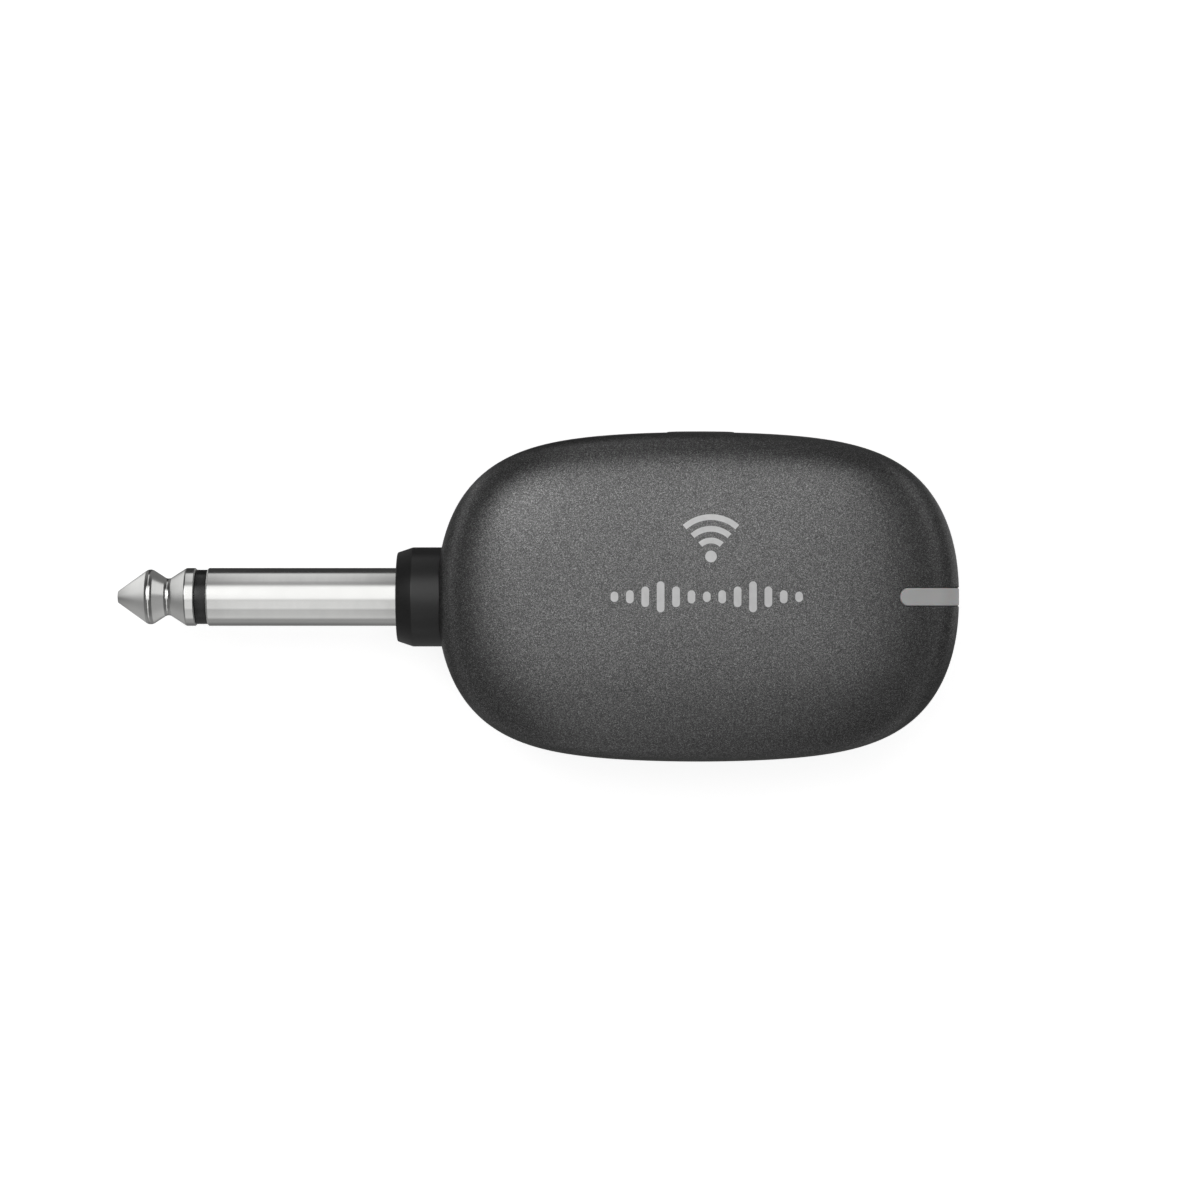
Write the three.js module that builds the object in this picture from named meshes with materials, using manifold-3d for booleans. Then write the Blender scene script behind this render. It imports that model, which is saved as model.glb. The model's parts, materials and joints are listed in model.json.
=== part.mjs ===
import * as THREE from 'three';
import { mergeVertices } from 'three/addons/utils/BufferGeometryUtils.js';
import Module from 'manifold-3d';

// Wireless guitar transmitter: a pebble-shaped housing with a quarter-inch plug on one end.
// Millimetres, +Z up. The plug points to -X, the side button faces +Y and the flat base stands on z = 0.
// Every piece is built about the housing's middle on the plug's axis, and moved into the part's frame last.

const wasm = await Module();
wasm.setup();

const GAP = 0.3;
const SLIVER = 0.02;
const ROUND_END_FLAT = 0.01;
const FAR = 60;

// Facets
const OUTLINE_SEGMENTS = 52;
const SECTION_STEPS = 7;
const PLUG_SEGMENTS = 32;
const COLLAR_SEGMENTS = 40;
const PASSAGE_SEGMENTS = 48;
const ROUND_SEGMENTS = 18;
const SMALL_SEGMENTS = 16;
const PILL_END_SEGMENTS = 8;
const CORNER_SEGMENTS = 5;
const WIRE_SEGMENTS = 4;
const WIRE_STEPS = 14;

// Housing
const HOUSING_HALF_LENGTH = 28.35;
const HOUSING_HALF_WIDTH = 17.9;
const TOP_HEIGHT = 10.5;
const BELLY_DEPTH = 10.8;
const BASE_DEPTH = 10;
const OUTLINE_BLUNTNESS = 5.2;
const OUTLINE_ROUNDNESS = 2.26;
const OUTLINE_CROWN = 0.28;
const SECTION_BLUNTNESS = 6;
const SECTION_ROUNDNESS = 2.2;
const WALL = 1.8;
const LIP_HEIGHT = 0.5;
const LIP_INSET = 1.05;
const RIB_FROM = -24.4;
const RIB_THICKNESS = 1;

// Plug, measured from the collar's front face towards the tip
const COLLAR_FRONT = -32.805;
const COLLAR_RADIUS = 5.44;
const COLLAR_FACE_RADIUS = 4.87;
const COLLAR_CHAMFER = 1.69;
const COLLAR_GROOVE_RADIUS = 4.6;
const COLLAR_BACK = -21.5;
const SLEEVE_RADIUS = 3.175;
const SLEEVE_BORE = 2.5;
const SLEEVE_REACH = 20.75;
const SLEEVE_EDGE = 0.15;
const SLEEVE_BACK = -18;
const RING_RADIUS = 2.98;
const RING_FROM = 21.05;
const RING_TO = 21.95;
const TUBE_RADIUS = 2.2;
const TUBE_BORE = 1.5;
const TUBE_BACK = -17.4;
const ROD_RADIUS = 1.2;
const ROD_BACK = -15.9;
const SHOULDER_FROM = 22.25;
const SHOULDER_TO = 23.12;
const WAIST_BACK = 24.73;
const WAIST_AT = 25.11;
const WAIST_FRONT = 25.5;
const WAIST_RADIUS = 2.03;
const WAIST_EDGE_RADIUS = 2.14;
const BULB_BACK = 26.6;
const BULB_AT = 27.1;
const BULB_FRONT = 27.6;
const BULB_RADIUS = 2.99;
const BULB_EDGE_RADIUS = 2.84;
const TIP_END = 30.66;
const TIP_END_RADIUS = 0.64;
const TERMINAL_THICKNESS = 0.5;
const GROUND_WASHER_RADIUS = 4.9;
const NUT_RADIUS = 4.6;
const NUT_THICKNESS = 2;
const NUT_SIDES = 6;
const TIP_TERMINAL_RADIUS = 2.8;
const TAG_HALF_WIDTH = 0.8;
const GROUND_TAG_Y = [-6.6, -4.2];
const TIP_TAG_Z = [2.2, 4.6];

// Light guide
const GUIDE_WIDTH = 1.9;
const GUIDE_FROM = 21.5;
const GUIDE_FOOT = 2.2;
const GUIDE_DEPTH = 2.2;
const GUIDE_TAIL_FROM = 25.1;
const GUIDE_TAIL_TO = 26.2;
const GUIDE_TAIL_FOOT = 0.9;
const GUIDE_TAIL_TOP = 5.2;

// Side button and its switch
const BUTTON_X = 0.3;
const BUTTON_Z = 3;
const BUTTON_LENGTH = 7.6;
const BUTTON_HEIGHT = 3.2;
const BUTTON_PROUD = 0.1;
const BUTTON_FLANGE_EDGE = 0.4;
const BUTTON_FLANGE_FACE = 15.5;
const BUTTON_FLANGE_BACK = 14.6;
const BUTTON_STEM_BACK = 13.4;
const BUTTON_ROOM = 1;
const STEM_RADIUS = 0.9;
const SWITCH_FACE = 12.4;
const SWITCH_BACK = 8.6;
const SWITCH_HALF_LENGTH = 3;
const SWITCH_TOP = 4.6;
const PLUNGER_RADIUS = 0.8;
const PLUNGER_BACK = 11;
const PLUNGER_POCKET = 10.2;

// Main board and battery
const BOARD_TOP = 0.2;
const BOARD_BOTTOM = -0.8;
const BOARD_HALF_LENGTH = 24.6;
const BOARD_HALF_WIDTH = 14.2;
const BOARD_PLUG_END = -14.8;
const BATTERY_FROM = -16;
const BATTERY_TO = 12;
const BATTERY_HALF_WIDTH = 10;
const BATTERY_BOTTOM = -7.2;
const BATTERY_TOP = -2.6;
const BATTERY_CORNER = 1.5;
const TAPE_MARGIN = 3;
const TAPE_HALF_WIDTH = 6;
const TAPE_THICKNESS = 0.4;
const BATTERY_PLUG_FROM = 13.5;
const BATTERY_PLUG_TO = 16.2;
const BATTERY_PLUG_HALF_WIDTH = 2.2;
const BATTERY_PLUG_HEIGHT = 2;
const LEAD_Y = 1.1;
const LEAD_ROUTE = [
  [BATTERY_TO + GAP, -5], [BATTERY_TO + 3, -5.2], [18, -4.2], [18, -2.4], [BATTERY_PLUG_TO + GAP, -2.1],
];
const SHIELD_X = [-3, 11];
const SHIELD_Y = [-12, 0];
const SHIELD_HEIGHT = 2.6;
const SHIELD_CORNER = 0.8;
const SHIELD_WALL = 0.3;
const RADIO_CHIP = { at: [4, -6], size: [5, 5, 0.9] };
const AUDIO_CHIP = { at: [-8, 4], size: [5, 5, 0.9] };
const CHARGER_CHIP = { at: [-8, -5], size: [3, 3, 0.8] };
const CLOCK_CRYSTAL = { at: [8, 4], size: [3.2, 2.5, 0.8] };
const CHIP_ANTENNA = { at: [20, 0], size: [2, 8, 1.2] };
const STATUS_LED = { at: [23.4, 0], size: [1.2, 1.6, 1.1] };

// Fasteners and contacts
const SCREW_X = 20;
const SCREW_Y = 9.5;
const SCREW_HEAD_RADIUS = 1.6;
const SCREW_SHANK_RADIUS = 0.8;
const SCREW_HEAD_BOTTOM = -7.6;
const SCREW_HEAD_TOP = -6.4;
const SCREW_HEAD_EDGE = 0.3;
const SCREW_END = 4.7;
const SCREW_POINT = 0.5;
const CROSS_DEPTH = 0.6;
const CROSS_REACH = 1;
const CROSS_HALF_WIDTH = 0.28;
const LOWER_BOSS_RADIUS = 2.7;
const UPPER_BOSS_RADIUS = 2.3;
const POST_X = 11;
const POST_Y = 12;
const POST_RADIUS = 1.2;
const CONTACT_X = 15.5;
const CONTACT_Y = 4;
const CONTACT_RADIUS = 1.25;
const CONTACT_PIN_RADIUS = 0.6;
const CONTACT_FACE = -9.8;
const CONTACT_HEAD = 0.5;
const CONTACT_EDGE = 0.1;
const WIRE_RADIUS = 0.4;
const TIP_WIRE = [[-16.3, 0, 3.9], [-14.6, 0, 4], [-12.8, 0, 2.8], [-12.2, 0, BOARD_TOP + GAP]];
const GROUND_WIRE = [
  [-20.4, -6, 0], [-17.5, -6, 0.8], [-14, -6, 2.6], [-12.4, -6, 2], [-12.2, -6, BOARD_TOP + GAP],
];

const housingX = (COLLAR_FRONT - TIP_END + HOUSING_HALF_LENGTH) / -2;

// ---- solids from three.js geometries ----

function solidFrom(geometry) {
  const loose = geometry.index ? geometry.toNonIndexed() : geometry;
  const bare = new THREE.BufferGeometry();
  bare.setAttribute('position', loose.getAttribute('position'));
  const merged = mergeVertices(bare, 1e-4);
  return new wasm.Manifold(new wasm.Mesh({
    numProp: 3,
    vertProperties: merged.attributes.position.array,
    triVerts: new Uint32Array(merged.index.array),
  }));
}

function box([x0, x1], [y0, y1], [z0, z1]) {
  const geometry = new THREE.BoxGeometry(x1 - x0, y1 - y0, z1 - z0);
  geometry.translate((x0 + x1) / 2, (y0 + y1) / 2, (z0 + z1) / 2);
  return solidFrom(geometry);
}

// A turned body along X: profile points are [distance along X, radius].
function turnedAlongX(profile, segments) {
  const points = profile.map(([along, radius]) => new THREE.Vector2(radius, along));
  return solidFrom(new THREE.LatheGeometry(points, segments).rotateZ(-Math.PI / 2));
}

// A turned body along Z at (x, y): profile points are [height, radius].
function turnedAlongZ(profile, segments, x, y) {
  const points = profile.map(([height, radius]) => new THREE.Vector2(radius, height));
  return solidFrom(new THREE.LatheGeometry(points, segments).rotateX(Math.PI / 2).translate(x, y, 0));
}

function rodAlongX(radius, from, to, segments = PLUG_SEGMENTS) {
  return turnedAlongX([[from, 0], [from, radius], [to, radius], [to, 0]], segments);
}

function rodAlongZ(radius, from, to, x, y, segments = ROUND_SEGMENTS) {
  return turnedAlongZ([[from, 0], [from, radius], [to, radius], [to, 0]], segments, x, y);
}

function rodAlongY(radius, from, to, x, z) {
  const geometry = new THREE.CylinderGeometry(radius, radius, to - from, SMALL_SEGMENTS);
  return solidFrom(geometry.translate(x, (from + to) / 2, z));
}

function extruded(shape, depth, curveSegments = CORNER_SEGMENTS) {
  return new THREE.ExtrudeGeometry(shape, { depth, bevelEnabled: false, curveSegments });
}

// A rectangle with rounded corners, extruded upwards.
function roundedBlock([x0, x1], [y0, y1], [z0, z1], radius) {
  const geometry = extruded(roundedRectangle(x1 - x0, y1 - y0, radius), z1 - z0);
  return solidFrom(geometry.translate((x0 + x1) / 2, (y0 + y1) / 2, z0));
}

function roundedRectangle(width, height, radius) {
  const shape = new THREE.Shape();
  const w = width / 2 - radius;
  const h = height / 2 - radius;
  shape.absarc(w, h, radius, 0, Math.PI / 2);
  shape.absarc(-w, h, radius, Math.PI / 2, Math.PI);
  shape.absarc(-w, -h, radius, Math.PI, 1.5 * Math.PI);
  shape.absarc(w, -h, radius, 1.5 * Math.PI, 2 * Math.PI);
  return shape;
}

// A pill along X seen from the side, extruded along Y.
function pillAlongY(length, height, [y0, y1], x, z) {
  const shape = roundedRectangle(length, height, height / 2 - ROUND_END_FLAT);
  const geometry = extruded(shape, y1 - y0, PILL_END_SEGMENTS);
  return solidFrom(geometry.rotateX(Math.PI / 2).translate(x, y1, z));
}

function wire(points) {
  const path = new THREE.CatmullRomCurve3(points.map(([x, y, z]) => new THREE.Vector3(x, y, z)));
  const circle = new THREE.Shape().absarc(0, 0, WIRE_RADIUS, 0, 2 * Math.PI);
  const options = { steps: WIRE_STEPS, curveSegments: WIRE_SEGMENTS, extrudePath: path };
  return solidFrom(new THREE.ExtrudeGeometry(circle, options));
}

// ---- housing ----

// Half-width of the outline as a share of the whole, at a share of the half-length.
function outlineShare(along) {
  const blunt = Math.max(0, 1 - Math.abs(along) ** OUTLINE_BLUNTNESS) ** (1 / OUTLINE_ROUNDNESS);
  const crowned = Math.sqrt(Math.max(0, 1 - along * along));
  return (1 - OUTLINE_CROWN) * blunt + OUTLINE_CROWN * crowned;
}

// Share of the outline that is left at a share of the height.
function sectionShare(height) {
  return Math.max(0, 1 - Math.abs(height) ** SECTION_BLUNTNESS) ** (1 / SECTION_ROUNDNESS);
}

// Heights spread so that the steps round the section's shoulder are even, up to a limit.
function sectionHeights(reach, limit) {
  const full = Math.asin(Math.min(1, limit / reach) ** (SECTION_BLUNTNESS / 2));
  const heights = [];
  for (let i = 1; i <= SECTION_STEPS; i++) {
    heights.push(reach * Math.sin((full * i) / SECTION_STEPS) ** (2 / SECTION_BLUNTNESS));
  }
  return heights;
}

// The housing's own form, drawn in on every side by an inset.
function pebble(inset) {
  const top = TOP_HEIGHT - inset;
  const belly = BELLY_DEPTH - inset;
  const base = BASE_DEPTH - inset;
  const profile = [[0, -base]];
  for (const depth of sectionHeights(belly, base).reverse()) {
    profile.push([sectionShare(depth / belly), -depth]);
  }
  profile.push([1, 0]);
  for (const height of sectionHeights(top, top)) {
    profile.push([sectionShare(height / top), height]);
  }
  const points = profile.map(([radius, height]) => new THREE.Vector2(radius, height));
  points[points.length - 1].x = 0;
  const geometry = new THREE.LatheGeometry(points, OUTLINE_SEGMENTS).rotateX(Math.PI / 2);
  const position = geometry.getAttribute('position');
  for (let i = 0; i < position.count; i++) {
    const x = position.getX(i);
    const y = position.getY(i);
    const radius = Math.hypot(x, y);
    const along = radius > 0 ? THREE.MathUtils.clamp(x / radius, -1, 1) : 0;
    position.setX(i, (HOUSING_HALF_LENGTH - inset) * radius * along);
    position.setY(i, (HOUSING_HALF_WIDTH - inset) * radius * Math.sign(y) * outlineShare(along));
  }
  return solidFrom(geometry);
}

const above = (height) => box([-FAR, FAR], [-FAR, FAR], [height, FAR]);
const below = (height) => box([-FAR, FAR], [-FAR, FAR], [-FAR, height]);
const corners = [[-1, -1], [-1, 1], [1, -1], [1, 1]];

const body = pebble(0);
const cavity = pebble(WALL);
const wallCore = pebble(WALL / 2);

// The curved bar that follows the housing's top and end, grown by a clearance for its slot.
function guideSolid(clearance) {
  const band = pebble(0).subtract(pebble(GUIDE_DEPTH + clearance));
  const half = GUIDE_WIDTH / 2 + clearance;
  const from = GUIDE_FROM - clearance;
  const foot = GUIDE_FOOT - clearance;
  const corner = half - ROUND_END_FLAT;
  const plan = roundedBlock([from, FAR], [-half, half], [0, FAR], corner);
  const front = extruded(roundedRectangle(FAR, 2 * half, corner), FAR);
  const column = solidFrom(front.rotateY(-Math.PI / 2).translate(FAR, 0, foot + FAR / 2));
  return band.intersect(plan).intersect(column);
}

function lightGuide() {
  const half = GUIDE_WIDTH / 2;
  const tail = box([GUIDE_TAIL_FROM, GUIDE_TAIL_TO], [-half, half], [GUIDE_TAIL_FOOT, GUIDE_TAIL_TOP]);
  return guideSolid(0).add(tail);
}

function buttonBlock(clearance, [y0, y1]) {
  const grow = 2 * clearance;
  return pillAlongY(BUTTON_LENGTH + grow, BUTTON_HEIGHT + grow, [y0, y1], BUTTON_X, BUTTON_Z);
}

function halfRib() {
  const slab = box([RIB_FROM, RIB_FROM + RIB_THICKNESS], [-FAR, FAR], [-FAR, FAR]);
  const throat = rodAlongX(COLLAR_GROOVE_RADIUS + GAP, RIB_FROM - 1, RIB_FROM + RIB_THICKNESS + 1);
  return slab.intersect(wallCore).subtract(throat);
}

function collarPassage() {
  return rodAlongX(COLLAR_RADIUS + GAP, -FAR, RIB_FROM - GAP, PASSAGE_SEGMENTS);
}

function upperShell() {
  let shell = body.subtract(cavity).intersect(above(GAP / 2));
  for (const [sx, sy] of corners) {
    const [x, y] = [sx * SCREW_X, sy * SCREW_Y];
    const boss = rodAlongZ(UPPER_BOSS_RADIUS, GAP / 2, TOP_HEIGHT, x, y);
    const pilot = rodAlongZ(SCREW_SHANK_RADIUS + GAP, -1, SCREW_END + GAP, x, y, SMALL_SEGMENTS);
    shell = shell.add(boss.intersect(wallCore)).subtract(pilot);
  }
  const rebate = pebble(LIP_INSET - GAP).intersect(below(LIP_HEIGHT + GAP)).subtract(pebble(WALL + GAP));
  const flangeRoom = box(
    [BUTTON_X - BUTTON_LENGTH / 2 - BUTTON_ROOM, BUTTON_X + BUTTON_LENGTH / 2 + BUTTON_ROOM],
    [BUTTON_FLANGE_BACK - BUTTON_ROOM, BUTTON_FLANGE_FACE + GAP],
    [0, BUTTON_Z + BUTTON_HEIGHT / 2 + BUTTON_ROOM]);
  return shell.add(halfRib().intersect(above(GAP / 2)))
    .subtract(rebate)
    .subtract(collarPassage())
    .subtract(guideSolid(GAP))
    .subtract(flangeRoom)
    .subtract(buttonBlock(GAP, [BUTTON_FLANGE_BACK, FAR]));
}

function lowerShell() {
  let shell = body.subtract(cavity).intersect(below(-GAP / 2));
  const lip = pebble(LIP_INSET).subtract(cavity).intersect(above(-1)).intersect(below(LIP_HEIGHT));
  shell = shell.add(lip).add(halfRib().intersect(below(-GAP / 2)));
  for (const [sx, sy] of corners) {
    const boss = rodAlongZ(LOWER_BOSS_RADIUS, -BASE_DEPTH, -GAP / 2, sx * SCREW_X, sy * SCREW_Y);
    const top = BOARD_BOTTOM - GAP;
    const post = rodAlongZ(POST_RADIUS, -BASE_DEPTH, top, sx * POST_X, sy * POST_Y, SMALL_SEGMENTS);
    shell = shell.add(boss.intersect(wallCore)).add(post.intersect(wallCore));
  }
  for (const [sx, sy] of corners) {
    const [x, y] = [sx * SCREW_X, sy * SCREW_Y];
    const well = rodAlongZ(SCREW_HEAD_RADIUS + GAP, -FAR, SCREW_HEAD_TOP + GAP, x, y);
    const bore = rodAlongZ(SCREW_SHANK_RADIUS + GAP, -FAR, 1, x, y, SMALL_SEGMENTS);
    shell = shell.subtract(well).subtract(bore);
  }
  for (const side of [-1, 1]) {
    const seat = CONTACT_FACE + CONTACT_HEAD + GAP;
    const y = side * CONTACT_Y;
    const recess = rodAlongZ(CONTACT_RADIUS + GAP, -FAR, seat, CONTACT_X, y);
    const bore = rodAlongZ(CONTACT_PIN_RADIUS + GAP, -FAR, -BASE_DEPTH / 2, CONTACT_X, y, SMALL_SEGMENTS);
    shell = shell.subtract(recess).subtract(bore);
  }
  return shell.subtract(collarPassage());
}

// ---- plug ----

const ahead = (distance) => COLLAR_FRONT - distance;

function plugTip() {
  return turnedAlongX([
    [ahead(TIP_END), 0],
    [ahead(TIP_END), TIP_END_RADIUS],
    [ahead(BULB_FRONT), BULB_EDGE_RADIUS],
    [ahead(BULB_AT), BULB_RADIUS],
    [ahead(BULB_BACK), BULB_EDGE_RADIUS],
    [ahead(WAIST_FRONT), WAIST_EDGE_RADIUS],
    [ahead(WAIST_AT), WAIST_RADIUS],
    [ahead(WAIST_BACK), WAIST_EDGE_RADIUS],
    [ahead(SHOULDER_TO), SLEEVE_RADIUS],
    [ahead(SHOULDER_FROM), SLEEVE_RADIUS],
    [ahead(SHOULDER_FROM), ROD_RADIUS],
    [ROD_BACK, ROD_RADIUS],
    [ROD_BACK, 0],
  ], PLUG_SEGMENTS);
}

function plugInsulator() {
  return turnedAlongX([
    [ahead(RING_TO), TUBE_BORE],
    [ahead(RING_TO), RING_RADIUS],
    [ahead(RING_FROM), RING_RADIUS],
    [ahead(RING_FROM), TUBE_RADIUS],
    [TUBE_BACK, TUBE_RADIUS],
    [TUBE_BACK, TUBE_BORE],
    [ahead(RING_TO), TUBE_BORE],
  ], PLUG_SEGMENTS);
}

function plugSleeve() {
  return turnedAlongX([
    [ahead(SLEEVE_REACH), SLEEVE_BORE],
    [ahead(SLEEVE_REACH), SLEEVE_RADIUS - SLEEVE_EDGE],
    [ahead(SLEEVE_REACH - SLEEVE_EDGE), SLEEVE_RADIUS],
    [SLEEVE_BACK, SLEEVE_RADIUS],
    [SLEEVE_BACK, SLEEVE_BORE],
    [ahead(SLEEVE_REACH), SLEEVE_BORE],
  ], PLUG_SEGMENTS);
}

function plugCollar() {
  const bore = SLEEVE_RADIUS + GAP;
  return turnedAlongX([
    [COLLAR_FRONT, bore],
    [COLLAR_FRONT, COLLAR_FACE_RADIUS],
    [COLLAR_FRONT + COLLAR_CHAMFER, COLLAR_RADIUS],
    [RIB_FROM - GAP, COLLAR_RADIUS],
    [RIB_FROM - GAP, COLLAR_GROOVE_RADIUS],
    [RIB_FROM + RIB_THICKNESS + GAP, COLLAR_GROOVE_RADIUS],
    [RIB_FROM + RIB_THICKNESS + GAP, COLLAR_RADIUS],
    [COLLAR_BACK, COLLAR_RADIUS],
    [COLLAR_BACK, bore],
    [COLLAR_FRONT, bore],
  ], COLLAR_SEGMENTS);
}

// A flat ring round the plug's axis.
function washer(outer, inner, from, to, segments = PLUG_SEGMENTS) {
  return rodAlongX(outer, from, to, segments).subtract(rodAlongX(inner, from - 1, to + 1));
}

function groundTerminal() {
  const from = COLLAR_BACK + GAP;
  const to = from + TERMINAL_THICKNESS;
  const tag = box([from, to], GROUND_TAG_Y, [-TAG_HALF_WIDTH, TAG_HALF_WIDTH]);
  return washer(GROUND_WASHER_RADIUS, SLEEVE_RADIUS + GAP, from, to).add(tag);
}

function plugNut() {
  const from = COLLAR_BACK + GAP + TERMINAL_THICKNESS + GAP;
  return washer(NUT_RADIUS, SLEEVE_RADIUS + GAP, from, from + NUT_THICKNESS, NUT_SIDES);
}

function tipTerminal() {
  const from = TUBE_BACK + GAP;
  const to = from + TERMINAL_THICKNESS;
  const tag = box([from, to], [-TAG_HALF_WIDTH, TAG_HALF_WIDTH], TIP_TAG_Z);
  return washer(TIP_TERMINAL_RADIUS, ROD_RADIUS + GAP, from, to).add(tag);
}

// ---- button and switch ----

function sideButton() {
  const skin = pebble(-BUTTON_PROUD);
  const cap = buttonBlock(0, [BUTTON_FLANGE_FACE - 0.5, FAR]).intersect(skin);
  const flange = buttonBlock(BUTTON_FLANGE_EDGE, [BUTTON_FLANGE_BACK, BUTTON_FLANGE_FACE]);
  const stem = rodAlongY(STEM_RADIUS, BUTTON_STEM_BACK, BUTTON_FLANGE_FACE - 0.4, BUTTON_X, BUTTON_Z);
  return cap.add(flange).add(stem);
}

function switchBody() {
  const x = [BUTTON_X - SWITCH_HALF_LENGTH, BUTTON_X + SWITCH_HALF_LENGTH];
  const block = box(x, [SWITCH_BACK, SWITCH_FACE], [BOARD_TOP + GAP, SWITCH_TOP]);
  const pocket = rodAlongY(PLUNGER_RADIUS + GAP, PLUNGER_POCKET, SWITCH_FACE + 1, BUTTON_X, BUTTON_Z);
  return block.subtract(pocket);
}

function switchPlunger() {
  return rodAlongY(PLUNGER_RADIUS, PLUNGER_BACK, BUTTON_STEM_BACK - GAP, BUTTON_X, BUTTON_Z);
}

// ---- electronics ----

function mainBoard() {
  const shape = new THREE.Shape();
  for (let i = 0; i < OUTLINE_SEGMENTS; i++) {
    const turn = (2 * Math.PI * i) / OUTLINE_SEGMENTS;
    const along = Math.cos(turn);
    const across = Math.sign(Math.sin(turn)) * outlineShare(along);
    shape.lineTo(BOARD_HALF_LENGTH * along, BOARD_HALF_WIDTH * across);
  }
  let board = solidFrom(extruded(shape, BOARD_TOP - BOARD_BOTTOM).translate(0, 0, BOARD_BOTTOM));
  board = board.intersect(box([BOARD_PLUG_END, FAR], [-FAR, FAR], [-FAR, FAR]));
  for (const side of [-1, 1]) {
    board = board.subtract(rodAlongZ(LOWER_BOSS_RADIUS + GAP, -2, 2, SCREW_X, side * SCREW_Y));
  }
  return board;
}

const onBoard = (height) => [BOARD_TOP + GAP, BOARD_TOP + GAP + height];

// A plain package on the board, from its middle and its length, width and height.
function onBoardBlock({ at: [x, y], size: [length, width, height] }) {
  return box([x - length / 2, x + length / 2], [y - width / 2, y + width / 2], onBoard(height));
}

function radioShield() {
  const [low, high] = onBoard(SHIELD_HEIGHT);
  const can = roundedBlock(SHIELD_X, SHIELD_Y, [low, high], SHIELD_CORNER);
  const inside = ([from, to]) => [from + SHIELD_WALL, to - SHIELD_WALL];
  return can.subtract(box(inside(SHIELD_X), inside(SHIELD_Y), [low - 1, high - SHIELD_WALL]));
}

function battery() {
  return roundedBlock([BATTERY_FROM, BATTERY_TO], [-BATTERY_HALF_WIDTH, BATTERY_HALF_WIDTH],
    [BATTERY_BOTTOM, BATTERY_TOP], BATTERY_CORNER);
}

function batteryTape() {
  const top = BATTERY_BOTTOM - GAP;
  return box([BATTERY_FROM + TAPE_MARGIN, BATTERY_TO - TAPE_MARGIN],
    [-TAPE_HALF_WIDTH, TAPE_HALF_WIDTH], [top - TAPE_THICKNESS, top]);
}

function batteryPlug() {
  const top = BOARD_BOTTOM - GAP;
  return box([BATTERY_PLUG_FROM, BATTERY_PLUG_TO],
    [-BATTERY_PLUG_HALF_WIDTH, BATTERY_PLUG_HALF_WIDTH], [top - BATTERY_PLUG_HEIGHT, top]);
}

// A lead from the battery's end, round a bend and back into its connector.
function batteryLead(y) {
  return wire(LEAD_ROUTE.map(([x, z]) => [x, y, z]));
}

function chargeContact(side) {
  const neck = CONTACT_FACE + CONTACT_HEAD;
  return turnedAlongZ([
    [CONTACT_FACE, 0],
    [CONTACT_FACE, CONTACT_RADIUS - CONTACT_EDGE],
    [CONTACT_FACE + CONTACT_EDGE, CONTACT_RADIUS],
    [neck, CONTACT_RADIUS],
    [neck, CONTACT_PIN_RADIUS],
    [BOARD_BOTTOM - GAP, CONTACT_PIN_RADIUS],
    [BOARD_BOTTOM - GAP, 0],
  ], ROUND_SEGMENTS, CONTACT_X, side * CONTACT_Y);
}

function shellScrew(sx, sy) {
  const x = sx * SCREW_X;
  const y = sy * SCREW_Y;
  const screw = turnedAlongZ([
    [SCREW_HEAD_BOTTOM, 0],
    [SCREW_HEAD_BOTTOM, SCREW_HEAD_RADIUS - SCREW_HEAD_EDGE],
    [SCREW_HEAD_BOTTOM + SCREW_HEAD_EDGE, SCREW_HEAD_RADIUS],
    [SCREW_HEAD_TOP, SCREW_HEAD_RADIUS],
    [SCREW_HEAD_TOP, SCREW_SHANK_RADIUS],
    [SCREW_END - SCREW_POINT, SCREW_SHANK_RADIUS],
    [SCREW_END, SCREW_SHANK_RADIUS / 2],
    [SCREW_END, 0],
  ], SMALL_SEGMENTS, x, y);
  const depth = [SCREW_HEAD_BOTTOM - 1, SCREW_HEAD_BOTTOM + CROSS_DEPTH];
  const arm = (alongX, alongY) => box([x - alongX, x + alongX], [y - alongY, y + alongY], depth);
  return screw.subtract(arm(CROSS_REACH, CROSS_HALF_WIDTH)).subtract(arm(CROSS_HALF_WIDTH, CROSS_REACH));
}

// ---- assembly ----

const group = new THREE.Group();
group.name = 'wireless_guitar_transmitter';

const looks = {
  shell: [0x4b4c4e, 0.5, 0.35],
  black: [0x1c1c1d, 0.45, 0],
  nickel: [0xd9d8d4, 0.18, 1],
  gold: [0xd8b25a, 0.3, 1],
  steel: [0x9a9b9c, 0.35, 1],
  diffuser: [0xa9abad, 0.4, 0],
  board: [0x14402c, 0.5, 0],
  foil: [0xb9bcc0, 0.4, 0.7],
  chip: [0x202122, 0.55, 0],
  ceramic: [0xe6e2d8, 0.6, 0],
  red: [0xa32020, 0.5, 0],
  white: [0xe9e9e6, 0.5, 0],
};

function addPiece(name, solid, look) {
  const mesh = solid.asOriginal().simplify(SLIVER).getMesh();
  const indexed = new THREE.BufferGeometry();
  indexed.setAttribute('position', new THREE.BufferAttribute(mesh.vertProperties, 3));
  indexed.setIndex(new THREE.BufferAttribute(mesh.triVerts, 1));
  const geometry = indexed.toNonIndexed().translate(housingX, 0, BASE_DEPTH);
  geometry.computeVertexNormals();
  const [color, roughness, metalness] = looks[look];
  const piece = new THREE.Mesh(geometry, new THREE.MeshStandardMaterial({ color, roughness, metalness }));
  piece.name = name;
  group.add(piece);
}

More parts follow.
